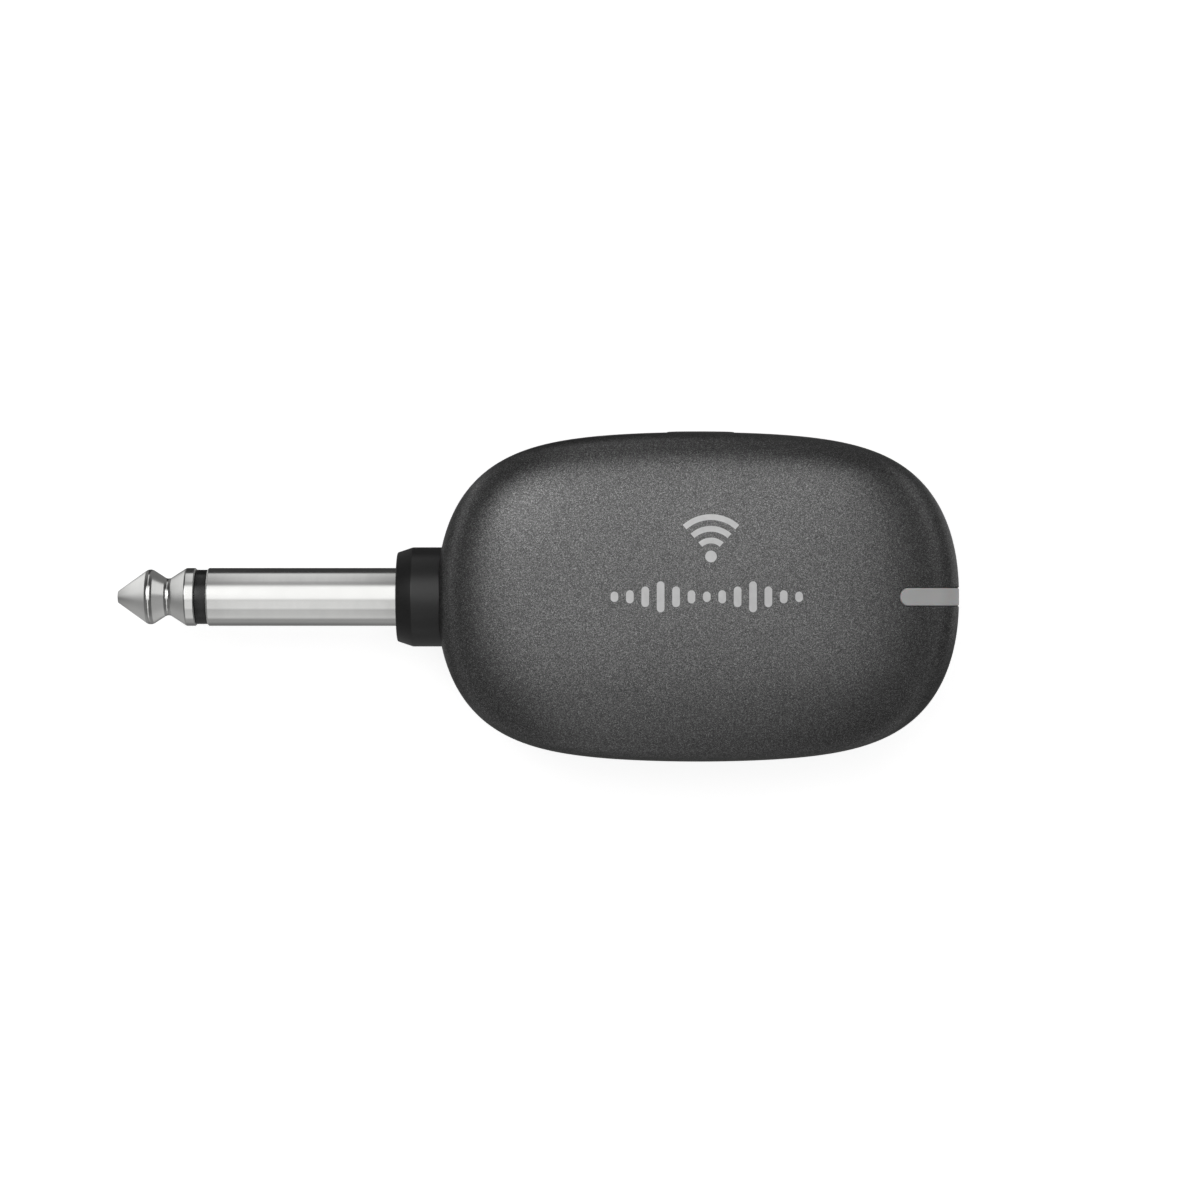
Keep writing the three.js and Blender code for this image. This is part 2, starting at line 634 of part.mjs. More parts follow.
addPiece('upper_shell', upperShell(), 'shell');
addPiece('lower_shell', lowerShell(), 'shell');
addPiece('light_guide', lightGuide(), 'diffuser');
addPiece('side_button', sideButton(), 'shell');
addPiece('plug_tip', plugTip(), 'nickel');
addPiece('plug_insulator', plugInsulator(), 'black');
addPiece('plug_sleeve', plugSleeve(), 'nickel');
addPiece('plug_collar', plugCollar(), 'black');
addPiece('ground_terminal', groundTerminal(), 'steel');
addPiece('plug_nut', plugNut(), 'nickel');
addPiece('tip_terminal', tipTerminal(), 'steel');
addPiece('main_board', mainBoard(), 'board');
addPiece('switch_body', switchBody(), 'black');
addPiece('switch_plunger', switchPlunger(), 'white');
addPiece('radio_shield', radioShield(), 'steel');
addPiece('radio_chip', onBoardBlock(RADIO_CHIP), 'chip');
addPiece('audio_chip', onBoardBlock(AUDIO_CHIP), 'chip');
addPiece('charger_chip', onBoardBlock(CHARGER_CHIP), 'chip');
addPiece('clock_crystal', onBoardBlock(CLOCK_CRYSTAL), 'foil');
addPiece('chip_antenna', onBoardBlock(CHIP_ANTENNA), 'ceramic');
addPiece('status_led', onBoardBlock(STATUS_LED), 'white');
addPiece('battery', battery(), 'foil');
addPiece('battery_tape', batteryTape(), 'black');
addPiece('battery_plug', batteryPlug(), 'white');
addPiece('battery_lead_red', batteryLead(LEAD_Y), 'red');
addPiece('battery_lead_black', batteryLead(-LEAD_Y), 'black');
addPiece('tip_wire', wire(TIP_WIRE), 'red');
addPiece('ground_wire', wire(GROUND_WIRE), 'black');
for (const side of [-1, 1]) {
  addPiece(side < 0 ? 'charge_contact_negative' : 'charge_contact_positive', chargeContact(side), 'gold');
}
corners.forEach(([sx, sy], i) => addPiece(`shell_screw_${i + 1}`, shellScrew(sx, sy), 'steel'));

export default group;
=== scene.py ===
"""Looks of the wireless guitar transmitter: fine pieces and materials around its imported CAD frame."""

import json
import math

import bmesh
import bpy
import numpy as np
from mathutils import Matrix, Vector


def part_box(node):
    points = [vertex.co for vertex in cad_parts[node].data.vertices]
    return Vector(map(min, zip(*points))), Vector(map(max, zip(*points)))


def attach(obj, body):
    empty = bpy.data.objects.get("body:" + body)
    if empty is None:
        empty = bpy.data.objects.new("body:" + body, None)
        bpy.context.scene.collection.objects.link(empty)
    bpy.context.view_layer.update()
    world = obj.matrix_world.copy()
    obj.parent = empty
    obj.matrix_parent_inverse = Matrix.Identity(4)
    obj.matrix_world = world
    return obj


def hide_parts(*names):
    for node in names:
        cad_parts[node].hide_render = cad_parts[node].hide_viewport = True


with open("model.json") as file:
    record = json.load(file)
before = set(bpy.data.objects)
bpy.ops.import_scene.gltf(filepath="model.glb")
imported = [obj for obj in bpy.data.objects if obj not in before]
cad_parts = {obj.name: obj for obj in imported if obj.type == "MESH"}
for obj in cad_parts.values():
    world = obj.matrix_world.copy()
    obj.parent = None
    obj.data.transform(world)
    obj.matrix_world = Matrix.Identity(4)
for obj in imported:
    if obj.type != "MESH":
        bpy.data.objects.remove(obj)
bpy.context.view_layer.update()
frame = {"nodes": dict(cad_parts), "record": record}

# Lengths are in millimetres about the middle of the housing, on the plug's axis, unless they say metres.
# Angles are in degrees.
MM = 0.001

# Housing
HALF_LENGTH = 28.35
HALF_WIDTH = 17.9
TOP_HEIGHT = 10.5
BELLY_DEPTH = 10.8
BASE_DEPTH = 10.0
OUTLINE_BLUNTNESS = 5.2
OUTLINE_ROUNDNESS = 2.26
OUTLINE_CROWN = 0.28
SECTION_BLUNTNESS = 6.0
SECTION_ROUNDNESS = 2.2
BASE_EDGE_SOFTNESS = 0.4
WALL = 1.8
SEAM_HALF_GAP = 0.06
SEAM_EDGE = 0.16
SEAM_FACE_INSET = 0.1
LINING_CORNER = 0.05
ABOVE_EDGE = 0.1
LINING_ABOVE_SEAM = 0.2

# Plug, measured from the collar's front face towards the tip
COLLAR_TO_MIDDLE = 32.805
COLLAR_RADIUS = 5.44
COLLAR_FACE_RADIUS = 4.87
COLLAR_CHAMFER = 1.69
COLLAR_LENGTH = 11.3
COLLAR_BORE_GAP = 0.06
COLLAR_GROOVE_FROM = 8.1
COLLAR_GROOVE_TO = 9.7
COLLAR_GROOVE_RADIUS = 4.6
PASSAGE_GAP = 0.05
PASSAGE_EDGE = 0.22
SLEEVE_RADIUS = 3.175
SLEEVE_BORE = 2.5
SLEEVE_REACH = 20.8
SLEEVE_LENGTH = 35.6
SLEEVE_BEVEL = 0.16
SLEEVE_BEVEL_DROP = 0.13
RING_RADIUS = 2.98
RING_WIDTH = 1.2
RING_GAP = 0.02
TUBE_RADIUS = 2.2
TUBE_BORE = 1.5
TUBE_PAST_SLEEVE = 0.6
ROD_RADIUS = 1.2
TIP_END = 30.66
TIP_END_RADIUS = 0.64
BULB_APEX = 27.1
BULB_APEX_RADIUS = 3.178
WAIST_AT = 25.109
WAIST_APEX_RADIUS = 1.892
SHOULDER_FROM = 23.115
SHOULDER_TO = 22.06
SHOULDER_BEVEL = 0.12
SHOULDER_BEVEL_DROP = 0.11

# Light guide
GUIDE_FROM = 21.5
GUIDE_FOOT = 2.2
GUIDE_WIDTH = 1.9
GUIDE_DEPTH = 2.1
GUIDE_EDGE = 0.12
GUIDE_BEND = 0.8
GUIDE_PAST_FOOT = 3
SLOT_GAP = 0.07
SLOT_EDGE = 0.08
SLOT_DEPTH = 3

# Side button
BUTTON_X = 0.3
BUTTON_Z = 3.0
BUTTON_LENGTH = 7.6
BUTTON_HEIGHT = 3.2
BUTTON_PROUD = 0.08
BUTTON_EDGE = 0.3
BUTTON_GAP = 0.12
WINDOW_EDGE = 0.15
WINDOW_DEPTH = 4
FLANGE_BACK = 14.6
FLANGE_FACE = 15.5
FLANGE_LIP = 0.4
STEM_RADIUS = 0.9
STEM_FROM = 13.4
STEM_TO = 15

# Fasteners and contacts
SCREW_X = 20.0
SCREW_Y = 9.5
WELL_RADIUS = 1.9
WELL_CEILING = -6.1
WELL_EDGE = 0.25
BORE_RADIUS = 1.1
PILOT_FROM = -1
PILOT_TO = 5
LOWER_BOSS_RADIUS = 2.7
UPPER_BOSS_RADIUS = 2.3
BOSS_TO_SEAM = 0.15
SCREW_HEAD_RADIUS = 1.6
SCREW_HEAD_HEIGHT = 1.2
SCREW_FACE_RADIUS = 0.7
SCREW_CROWN = 0.3
SCREW_THREAD_RADIUS = 0.8
SCREW_POINT = 0.5
SCREW_POINT_RADIUS = 0.4
CROSS_REACH = 1.05
CROSS_HALF_WIDTH = 0.24
CROSS_DEPTH = 0.75
CROSS_TAPER = 0.62
CROSS_RISE = 0.5
CONTACT_X = 15.5
CONTACT_Y = 4.0
CONTACT_RECESS_RADIUS = 1.45
CONTACT_RECESS_DEPTH = 0.75
CONTACT_EDGE = 0.2
CONTACT_RADIUS = 1.25
CONTACT_THICKNESS = 0.5
CONTACT_DIMPLE = 0.06
CONTACT_DIMPLE_RADIUS = 0.5
CONTACT_FLAT_RADIUS = 0.85
CONTACT_PIN_RADIUS = 0.6

# Marks printed on the top
INK_FILM = 0.03
MARK_X = 1.2
MARK_Y = 4.3
MARK_LINE = 0.62
MARK_DOT = 0.62
ARCS = 3
ARC_RADIUS = 1.7
ARC_PITCH = 1.25
ARC_SPAN = (48, 132)
ARC_COLUMNS = 40
LEVEL_X = 0.75
LEVEL_BARS = 13
LEVEL_PITCH = 1.64
LEVEL_WIDTH = 0.82
LEVEL_TALLEST = 3.3
LEVEL_SHORTEST = 1.1

# How finely the pieces are made
MERGE_DISTANCE = 1e-4
SHARP_ANGLE = 32
SLOPE_STEP = 0.01
AROUND = 288
SKIN_ROWS = 64
LINING_ROWS = 24
EDGE_STEPS = 6
EDGE_DEGREES = 15
TIP_FILLET_STEPS = 10
PLUG_TURN = 128
FASTENER_TURN = 64
PILOT_TURN = 48
STRAIGHT_STEPS = 24
GUIDE_STEPS = 60
ROUND_STEPS = 12
BOSS_ROUND_STEPS = 16
WELL_ROUND_STEPS = 20
PASSAGE_ROUND_STEPS = 32
OUTLINE_SAMPLES = 4001
HALVINGS = 40
LEAST_SHARE = 1e-6
LEAST_SINE = 1e-9
SIDE_SAMPLES = 200
BEND_SAMPLES = 3000
BEND_FROM = 0.55
GUIDE_TOP_SAMPLES = 400
GUIDE_END_SAMPLES = 600

# How far inside a cap's rounded edge its top has its own row of points
CAP_TOP_INSET = 0.08

# How far cutters run past what they cut, MOUTH_LIFT as a share of the mouth's rounded edge
MOUTH_LIFT = 0.034
MOUTH_FLARE = 0.1
CUTTER_RISE = 1.0
PASSAGE_DEPTH = 5
WELL_DEPTH = 1
BORE_TOP = 1

# Flakes in the housing's paint
FLAKES_PER_METRE = 15000

# Camera
CAMERA_HEIGHT = 365.6
CAMERA_ASIDE = -10.63
CAMERA_BELOW = -0.34
LENS = 100
SENSOR = 36

# The nearest depth that the camera sees, and the floor, in metres
NEAREST_SEEN = 0.01
FLOOR_REACH = 3
FLOOR_DROP = 0.00002

collar_low, collar_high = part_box("plug_collar")
middle = np.array([
    collar_low.x / MM + COLLAR_TO_MIDDLE,
    0.0,
    (collar_low.z + collar_high.z) / 2 / MM,
])
corners = [(sx, sy) for sx in (-1, 1) for sy in (-1, 1)]


def placed(points):
    """Points of this script's own frame in the scene's metres."""
    return (np.asarray(points, float) + middle) * MM


# ---- meshes ----

def mesh_object(name, points, faces):
    """A mesh in the scene from points of this script's own frame, with its normals outwards."""
    mesh = bpy.data.meshes.new(name)
    mesh.from_pydata(placed(points).tolist(), [], faces)
    work = bmesh.new()
    work.from_mesh(mesh)
    bmesh.ops.remove_doubles(work, verts=work.verts, dist=MERGE_DISTANCE * MM)
    bmesh.ops.recalc_face_normals(work, faces=work.faces)
    work.to_mesh(mesh)
    work.free()
    made = bpy.data.objects.new(name, mesh)
    bpy.context.scene.collection.objects.link(made)
    return made


def shade(piece):
    """Shades a piece smooth, but for its sharp edges."""
    piece.data.shade_smooth()
    piece.data.set_sharp_from_angle(angle=math.radians(SHARP_ANGLE))


def lofted(rings):
    """Points and faces of a skin over a row of rings, each with the same number of points."""
    rings = np.asarray(rings, float)
    rows, around = rings.shape[:2]
    faces = []
    for i in range(rows - 1):
        for j in range(around):
            k = (j + 1) % around
            faces.append((i * around + j, i * around + k, (i + 1) * around + k, (i + 1) * around + j))
    return rings.reshape(-1, 3), faces


def filleted(corner_list, steps=EDGE_STEPS, closed=False):
    """A profile through corners of (along, radius, fillet radius), each rounded by an arc."""
    points = [np.array([along, radius], float) for along, radius, _ in corner_list]
    count = len(points)
    line = []
    for i, (_, _, fillet) in enumerate(corner_list):
        here = points[i]
        if fillet == 0 or (not closed and i in (0, count - 1)):
            line.append(here)
            continue
        previous = points[i - 1] - here
        following = points[(i + 1) % count] - here
        previous /= np.linalg.norm(previous)
        following /= np.linalg.norm(following)
        half_angle = math.acos(np.clip(previous @ following, -1, 1)) / 2
        bisector = (previous + following) / np.linalg.norm(previous + following)
        centre = here + bisector * fillet / math.sin(half_angle)
        start = here + previous * fillet / math.tan(half_angle) - centre
        end = here + following * fillet / math.tan(half_angle) - centre
        sweep = math.pi - 2 * half_angle
        for step in range(steps + 1):
            share = step / steps
            a = math.sin((1 - share) * sweep) / math.sin(sweep)
            b = math.sin(share * sweep) / math.sin(sweep)
            line.append(centre + a * start + b * end)
    return np.array(line)


def turned(name, profile, closed=False):
    """A body turned about the plug's axis from a profile of (along, radius)."""
    turn = np.linspace(0, 2 * math.pi, PLUG_TURN, endpoint=False)
    rings = []
    for along, radius in profile:
        rings.append(np.stack([np.full(PLUG_TURN, along), radius * np.cos(turn), radius * np.sin(turn)], 1))
    if closed:
        rings.append(rings[0])
    return mesh_object(name, *lofted(rings))


def turned_upright(name, profile, x, y, segments=FASTENER_TURN):
    """A body turned about a vertical axis at (x, y) from a profile of (height, radius)."""
    turn = np.linspace(0, 2 * math.pi, segments, endpoint=False)
    rings = []
    for height, radius in profile:
        rings.append(np.stack([
            x + radius * np.cos(turn), y + radius * np.sin(turn), np.full(segments, height)], 1))
    return mesh_object(name, *lofted(rings))


def combined(piece, others, operation):
    """Joins the other bodies onto a piece or cuts them out of it, and then removes them."""
    for other in others:
        step = piece.modifiers.new(other.name, "BOOLEAN")
        step.operation = operation
        step.solver = "EXACT"
        step.object = other
    bpy.context.view_layer.update()
    evaluated = piece.evaluated_get(bpy.context.evaluated_depsgraph_get())
    result = bpy.data.meshes.new_from_object(evaluated)
    piece.modifiers.clear()
    piece.data = result
    for other in others:
        bpy.data.objects.remove(other)


# ---- the housing's form ----

def outline_share(along):
    """The outline's half width at a share of its half length, as a share of the greatest."""
    along = np.clip(np.abs(along), 0, 1)
    blunt = (1 - along ** OUTLINE_BLUNTNESS) ** (1 / OUTLINE_ROUNDNESS)
    crowned = np.sqrt(1 - along ** 2)
    return (1 - OUTLINE_CROWN) * blunt + OUTLINE_CROWN * crowned


def section_share(height):
    """The share of its outline that the housing fills at a height, itself a share of the greatest."""
    return np.clip(1 - np.abs(height) ** SECTION_BLUNTNESS, 0, 1) ** (1 / SECTION_ROUNDNESS)


def section_height(share):
    """The height, as a share of the greatest, at which the housing fills a share of its outline."""
    return np.clip(1 - share ** SECTION_ROUNDNESS, 0, 1) ** (1 / SECTION_BLUNTNESS)


quarter = np.linspace(0, math.pi / 2, OUTLINE_SAMPLES)
outline_alongs = np.cos(quarter)
outline_shares = outline_share(outline_alongs)


def softened(depth, limit):
    """The lesser of depth and limit, with a soft turn between them."""
    mix = np.clip(0.5 + 0.5 * (limit - depth) / BASE_EDGE_SOFTNESS, 0, 1)
    return limit + (depth - limit) * mix - BASE_EDGE_SOFTNESS * mix * (1 - mix)


def reach_of(z):
    """The housing's greatest height or depth, on the side of the axis where z lies."""
    return np.where(np.asarray(z) >= 0, TOP_HEIGHT, BELLY_DEPTH)


def end_x(y, z):
    """Distance from the middle to the housing's end at (y, z)."""
    share = section_share(z / reach_of(z))
    along = np.interp(np.abs(y) / (HALF_WIDTH * share), outline_shares, outline_alongs)
    return HALF_LENGTH * share * along


def side_y(x, z):
    """Distance from the middle to the housing's side at (x, z)."""
    share = section_share(z / reach_of(z))
    return HALF_WIDTH * share * outline_share(x / (HALF_LENGTH * share))


def share_at(x, y):
    """The share of the outline that passes through (x, y), found by halving."""
    low = np.maximum(np.abs(x) / HALF_LENGTH, LEAST_SHARE)
    high = np.ones_like(low)
    for _ in range(HALVINGS):
        trial = (low + high) / 2
        inside = HALF_WIDTH * trial * outline_share(x / (HALF_LENGTH * trial)) > np.abs(y)
        high = np.where(inside, trial, high)
        low = np.where(inside, low, trial)
    return (low + high) / 2


def top_z(x, y):
    return TOP_HEIGHT * section_height(share_at(x, y))


def base_z(x, y):
    return -softened(BELLY_DEPTH * section_height(share_at(x, y)), BASE_DEPTH)


def section_rows(reach, base, rows):
    """Evenly spaced (share of outline, height) from the seam to the middle of the top or the base."""
    low = np.linspace(0, BEND_FROM, SIDE_SAMPLES)
    bend = np.linspace(math.asin(BEND_FROM ** (SECTION_BLUNTNESS / 2)), math.pi / 2, BEND_SAMPLES)[1:]
    heights = np.concatenate([low, np.sin(bend) ** (2 / SECTION_BLUNTNESS)])
    shares = section_share(heights)
    shares[-1] = 0
    heights = reach * heights
    if base:
        heights = softened(heights, base)
    travelled = np.concatenate([[0], np.cumsum(np.hypot(np.diff(shares * HALF_WIDTH), np.diff(heights)))])
    even = np.linspace(0, travelled[-1], rows)
    return np.interp(even, travelled, shares), np.interp(even, travelled, heights)


def outline_ring(share, inset, z):
    """A level ring at a height: the outline drawn in by an inset and shrunk to a share of itself."""
    turn = np.linspace(0, 2 * math.pi, AROUND, endpoint=False)
    along = np.cos(turn)
    across = np.sign(np.sin(turn)) * outline_share(along)
    across[np.abs(np.sin(turn)) < LEAST_SINE] = 0
    x = (HALF_LENGTH - inset) * share * along
    y = (HALF_WIDTH - inset) * share * across
    return np.stack([x, y, np.full(AROUND, z)], 1)


def half_shell(name, side):
    """One half of the housing: skin, rounded seam edge and lining, as one closed wall."""
    reach = TOP_HEIGHT if side > 0 else BELLY_DEPTH
    base = 0 if side > 0 else BASE_DEPTH
    rings = []
    shares, heights = section_rows(reach, base, SKIN_ROWS)
    edge_top = SEAM_HALF_GAP + SEAM_EDGE
    for share, height in zip(shares[::-1], heights[::-1]):
        if height > edge_top + ABOVE_EDGE:
            rings.append(outline_ring(share, 0, side * height))
    for step in range(EDGE_STEPS + 1):
        angle = step / EDGE_STEPS * math.pi / 2
        inset = SEAM_EDGE * (1 - math.cos(angle))
        height = SEAM_HALF_GAP + SEAM_EDGE * (1 - math.sin(angle))
        rings.append(outline_ring(1, inset, side * height))
    rings.append(outline_ring(1, SEAM_EDGE + SEAM_FACE_INSET, side * SEAM_HALF_GAP))
    rings.append(outline_ring(1, WALL - LINING_CORNER, side * SEAM_HALF_GAP))
    shares, heights = section_rows(reach - WALL, base and base - WALL, LINING_ROWS)
    for share, height in zip(shares, heights):
        if height > SEAM_HALF_GAP + LINING_ABOVE_SEAM or share == 0:
            rings.append(outline_ring(share, WALL, side * height))
    return mesh_object(name, *lofted(rings))


# ---- pill-shaped bodies that follow the skin ----

def skin(surface, outward, height):
    """A row of a prism: points at a height over a surface, along its own normal."""
    def row(s, t):
        along = surface(s + SLOPE_STEP, t) - surface(s - SLOPE_STEP, t)
        across = surface(s, t + SLOPE_STEP) - surface(s, t - SLOPE_STEP)
        normal = np.cross(along, across)
        normal /= np.linalg.norm(normal, axis=1)[:, None]
        normal *= np.sign(normal @ np.array(outward, float))[:, None]
        return surface(s, t) + height * normal
    return row


def level(surface, axis, value):
    """A row of a prism that lies flat: the surface's points with one coordinate set to a value."""
    def row(s, t):
        points = surface(s, t)
        points[:, axis] = value
        return points
    return row


def raised(surface, axis, height):
    """A row of a prism that is lifted straight along one axis."""
    def row(s, t):
        points = surface(s, t)
        points[:, axis] += height
        return points
    return row


def pill_prism(
        name, centre, half_length, half_width, rows, straight=STRAIGHT_STEPS, round_steps=ROUND_STEPS):
    """A closed body with a pill for its plan: each row is (how far it grows, where its points lie)."""
    half_straight = half_length - half_width
    s_rows = []
    for grow, _ in rows:
        bend = np.linspace(math.pi / 2, 0, round_steps + 1)
        cap = half_straight + (half_width + grow) * np.sin(bend)
        width = (half_width + grow) * np.cos(bend)
        run = np.linspace(half_straight, -half_straight, straight + 1)[1:-1] if half_straight > 0 else []
        s = np.concatenate([cap, run, -cap[::-1]])
        t = np.concatenate([width, np.full(len(run), half_width + grow), width[::-1]])
        s_rows.append((s, t))
    points = []
    for (s, t), (_, place) in zip(s_rows, rows):
        points.append(place(centre[0] + s, centre[1] + t))
        points.append(place(centre[0] + s, centre[1] - t))
    columns = len(s_rows[0][0])
    faces = []
    for i in range(len(rows) - 1):
        here, there = 2 * i * columns, 2 * (i + 1) * columns
        for j in range(columns - 1):
            faces.append((here + j, here + j + 1, there + j + 1, there + j))
            a, b = here + columns + j, there + columns + j
            faces.append((a + 1, a, b, b + 1))
    for start, flip in ((0, False), (2 * (len(rows) - 1) * columns, True)):
        for j in range(columns - 1):
            face = (start + j, start + columns + j, start + columns + j + 1, start + j + 1)
            faces.append(face[::-1] if flip else face)
    return mesh_object(name, np.concatenate(points), faces)


def hole_rows(at_height, gap, edge, depth):
    """Rows of a cutter whose mouth is rounded outwards, from inside the wall to outside it."""
    rows = [(gap, at_height(-depth)), (gap, at_height(-edge))]
    for degrees in range(EDGE_DEGREES, 90, EDGE_DEGREES):
        turn = math.radians(degrees)
        rows.append((gap + edge * (1 - math.cos(turn)), at_height(-edge + edge * math.sin(turn))))
    rows.append((gap + edge, at_height(edge * MOUTH_LIFT)))
    rows.append((gap + edge + MOUTH_FLARE, at_height(CUTTER_RISE)))
    return rows


def cap_rows(at_height, edge, proud):
    """Rows of a cap's rounded edge and its top."""
    rows = [(0, at_height(proud - edge))]
    for degrees in range(EDGE_DEGREES, 91, EDGE_DEGREES):
        turn = math.radians(degrees)
        rows.append((-edge * (1 - math.cos(turn)), at_height(proud - edge + edge * math.sin(turn))))
    rows.append((-edge - CAP_TOP_INSET, at_height(proud)))
    return rows


# The light guide's way over the +X end: in even steps of x over the top, then of z down the end.
guide_top_x = np.linspace(GUIDE_FROM, HALF_LENGTH * section_share(GUIDE_BEND), GUIDE_TOP_SAMPLES)
guide_top_z = TOP_HEIGHT * section_height(guide_top_x / HALF_LENGTH)
guide_end_z = np.linspace(guide_top_z[-1], GUIDE_FOOT - GUIDE_PAST_FOOT, GUIDE_END_SAMPLES)[1:]
guide_z = np.concatenate([guide_top_z, guide_end_z])
guide_x = np.concatenate([guide_top_x, HALF_LENGTH * section_share(guide_end_z / TOP_HEIGHT)])
guide_path = np.concatenate([[0], np.cumsum(np.hypot(np.diff(guide_x), np.diff(guide_z)))])
guide_foot_path = float(np.interp(-GUIDE_FOOT, -guide_z, guide_path))


def guide_surface(s, t):
    """The skin over the +X end: s runs along the guide from its inner end, t across it."""
    before = np.minimum(s, 0)
    z = np.interp(s, guide_path, guide_z)
    slope = (guide_top_z[1] - guide_top_z[0]) / (guide_top_x[1] - guide_top_x[0])
    return np.stack([end_x(t, z) + before, t, z + before * slope], 1)


def side_surface(s, t):
    return np.stack([s, side_y(s, t), t], 1)


def plug_end_surface(s, t):
    return np.stack([-end_x(s, t), s, t], 1)


def base_surface(s, t):
    return np.stack([s, t, base_z(s, t)], 1)


def top_surface(s, t):
    return np.stack([s, t, top_z(s, t)], 1)


# ---- materials ----

def material(name, **sockets):
    """A Principled material with its constant values on the shader's own sockets."""
    made = bpy.data.materials.new(name)
    made.use_nodes = True
    shader = made.node_tree.nodes["Principled BSDF"]
    for socket, value in sockets.items():
        shader.inputs[socket.replace("_", " ")].default_value = value
    return made, made.node_tree, shader


def object_coordinates(tree, stretch=(1, 1, 1)):
    coordinates = tree.nodes.new("ShaderNodeTexCoord")
    mapping = tree.nodes.new("ShaderNodeMapping")
    mapping.inputs["Scale"].default_value = stretch
    tree.links.new(coordinates.outputs["Object"], mapping.inputs["Vector"])
    return mapping.outputs["Vector"]


def noise(tree, scale, detail=2, roughness=0.5, stretch=(1, 1, 1)):
    node = tree.nodes.new("ShaderNodeTexNoise")
    node.inputs["Scale"].default_value = scale
    node.inputs["Detail"].default_value = detail
    node.inputs["Roughness"].default_value = roughness
    tree.links.new(object_coordinates(tree, stretch), node.inputs["Vector"])
    return node.outputs["Fac"]


def ramp(tree, factor, stops):
    stops = list(stops)
    node = tree.nodes.new("ShaderNodeValToRGB")
    while len(node.color_ramp.elements) < len(stops):
        node.color_ramp.elements.new(0.5)
    for element, (position, colour) in zip(node.color_ramp.elements, stops):
        element.position = position
        element.color = (*colour, 1) if hasattr(colour, "__len__") else (colour, colour, colour, 1)
    tree.links.new(factor, node.inputs["Fac"])
    return node.outputs["Color"]


def mottled(
        tree, shader, socket, low, high, scale, detail=4, roughness=0.6, stretch=(1, 1, 1), span=(0.3, 0.7)):
    """Lets a noise pattern vary one of the shader's sockets between two values."""
    pattern = noise(tree, scale, detail, roughness, stretch)
    tree.links.new(ramp(tree, pattern, zip(span, (low, high))), shader.inputs[socket])


def bump(tree, shader, height, strength, distance):
    node = tree.nodes.new("ShaderNodeBump")
    node.inputs["Strength"].default_value = strength
    node.inputs["Distance"].default_value = distance * MM
    tree.links.new(height, node.inputs["Height"])
    tree.links.new(node.outputs["Normal"], shader.inputs["Normal"])


def housing_paint():
    """Dark grey metallic paint: fine flakes of different brightness, polish and tilt."""
    made, tree, shader = material("housing_paint", Metallic=0.85, Specular_Tint=(0.55, 0.55, 0.55, 1))
    flakes = tree.nodes.new("ShaderNodeTexVoronoi")
    flakes.inputs["Scale"].default_value = FLAKES_PER_METRE
    tree.links.new(object_coordinates(tree), flakes.inputs["Vector"])
    split = tree.nodes.new("ShaderNodeSeparateColor")
    tree.links.new(flakes.outputs["Color"], split.inputs["Color"])
    tint = ramp(tree, split.outputs["Red"], [(0.0, 0.065), (0.55, 0.125), (0.85, 0.2), (1.0, 0.33)])
    tree.links.new(tint, shader.inputs["Base Color"])
    gloss = ramp(tree, split.outputs["Green"], [(0.0, 0.33), (1.0, 0.42)])
    tree.links.new(gloss, shader.inputs["Roughness"])
    bump(tree, shader, split.outputs["Blue"], strength=0.05, distance=0.01)
    return made


def black_plastic():
    """Moulded black plastic with a fine satin grain."""
    made, tree, shader = material("black_plastic", Specular_IOR_Level=0.5)
    mottled(tree, shader, "Base Color", 0.013, 0.017, scale=700)
    mottled(tree, shader, "Roughness", 0.33, 0.37, scale=1500, detail=3)
    bump(tree, shader, noise(tree, 9000), strength=0.02, distance=0.01)
    return made


def nickel_plate():
    """Polished nickel on a turned part: faint turning lines round the axis and soft handling wear."""
    made, tree, shader = material("nickel_plate", Metallic=1.0)
    mottled(tree, shader, "Base Color", (0.68, 0.68, 0.667), (0.71, 0.71, 0.698), scale=260)
    mottled(
        tree, shader, "Roughness", 0.145, 0.185,
        scale=900, detail=5, roughness=0.65, stretch=(1, 0.25, 0.25), span=(0.3, 0.75))
    turning_lines = noise(tree, 9000, detail=1, stretch=(1, 0.01, 0.01))
    bump(tree, shader, turning_lines, strength=0.035, distance=0.004)
    return made


def insulator_plastic():
    """Smooth black plastic between the plug's metal parts."""
    made, tree, shader = material("insulator_plastic", Specular_IOR_Level=0.5)
    mottled(tree, shader, "Base Color", 0.010, 0.014, scale=900, detail=3)
    mottled(tree, shader, "Roughness", 0.22, 0.3, scale=1400, detail=3)
    return made


def diffuser_plastic_painted_glow():
    """Milky grey light guide: light scatters a little below its satin surface, and a faint painted glow
    brightens it.
    """
    # The faint emission is a painted glow: it brightens the guide though nothing in it is a lamp.
    made, tree, shader = material(
        "diffuser_plastic_painted_glow", Subsurface_Weight=0.35, Subsurface_Scale=0.6 * MM, IOR=1.49,
        Emission_Color=(1, 1, 1, 1), Emission_Strength=0.08)
    mottled(tree, shader, "Base Color", 0.41, 0.45, scale=350, detail=3, roughness=0.55)
    mottled(tree, shader, "Roughness", 0.38, 0.46, scale=2200, detail=3)
    return made


def mark_ink():
    """Pale grey pad-printed ink with a slightly uneven film."""
    made, tree, shader = material("mark_ink", Metallic=0.7)
    mottled(tree, shader, "Base Color", 0.66, 0.7, scale=2600, detail=3)
    mottled(tree, shader, "Roughness", 0.5, 0.6, scale=1800, detail=2, roughness=0.5)
    return made


def metal(name, dark, light, smooth, rough, scale=900):
    """A plain metal whose colour and polish vary a little over its surface."""
    made, tree, shader = material(name, Metallic=1.0)
    mottled(tree, shader, "Base Color", dark, light, scale=scale)
    mottled(tree, shader, "Roughness", smooth, rough, scale=scale * 2)
    bump(tree, shader, noise(tree, scale * 4), strength=0.05, distance=0.01)
    return made


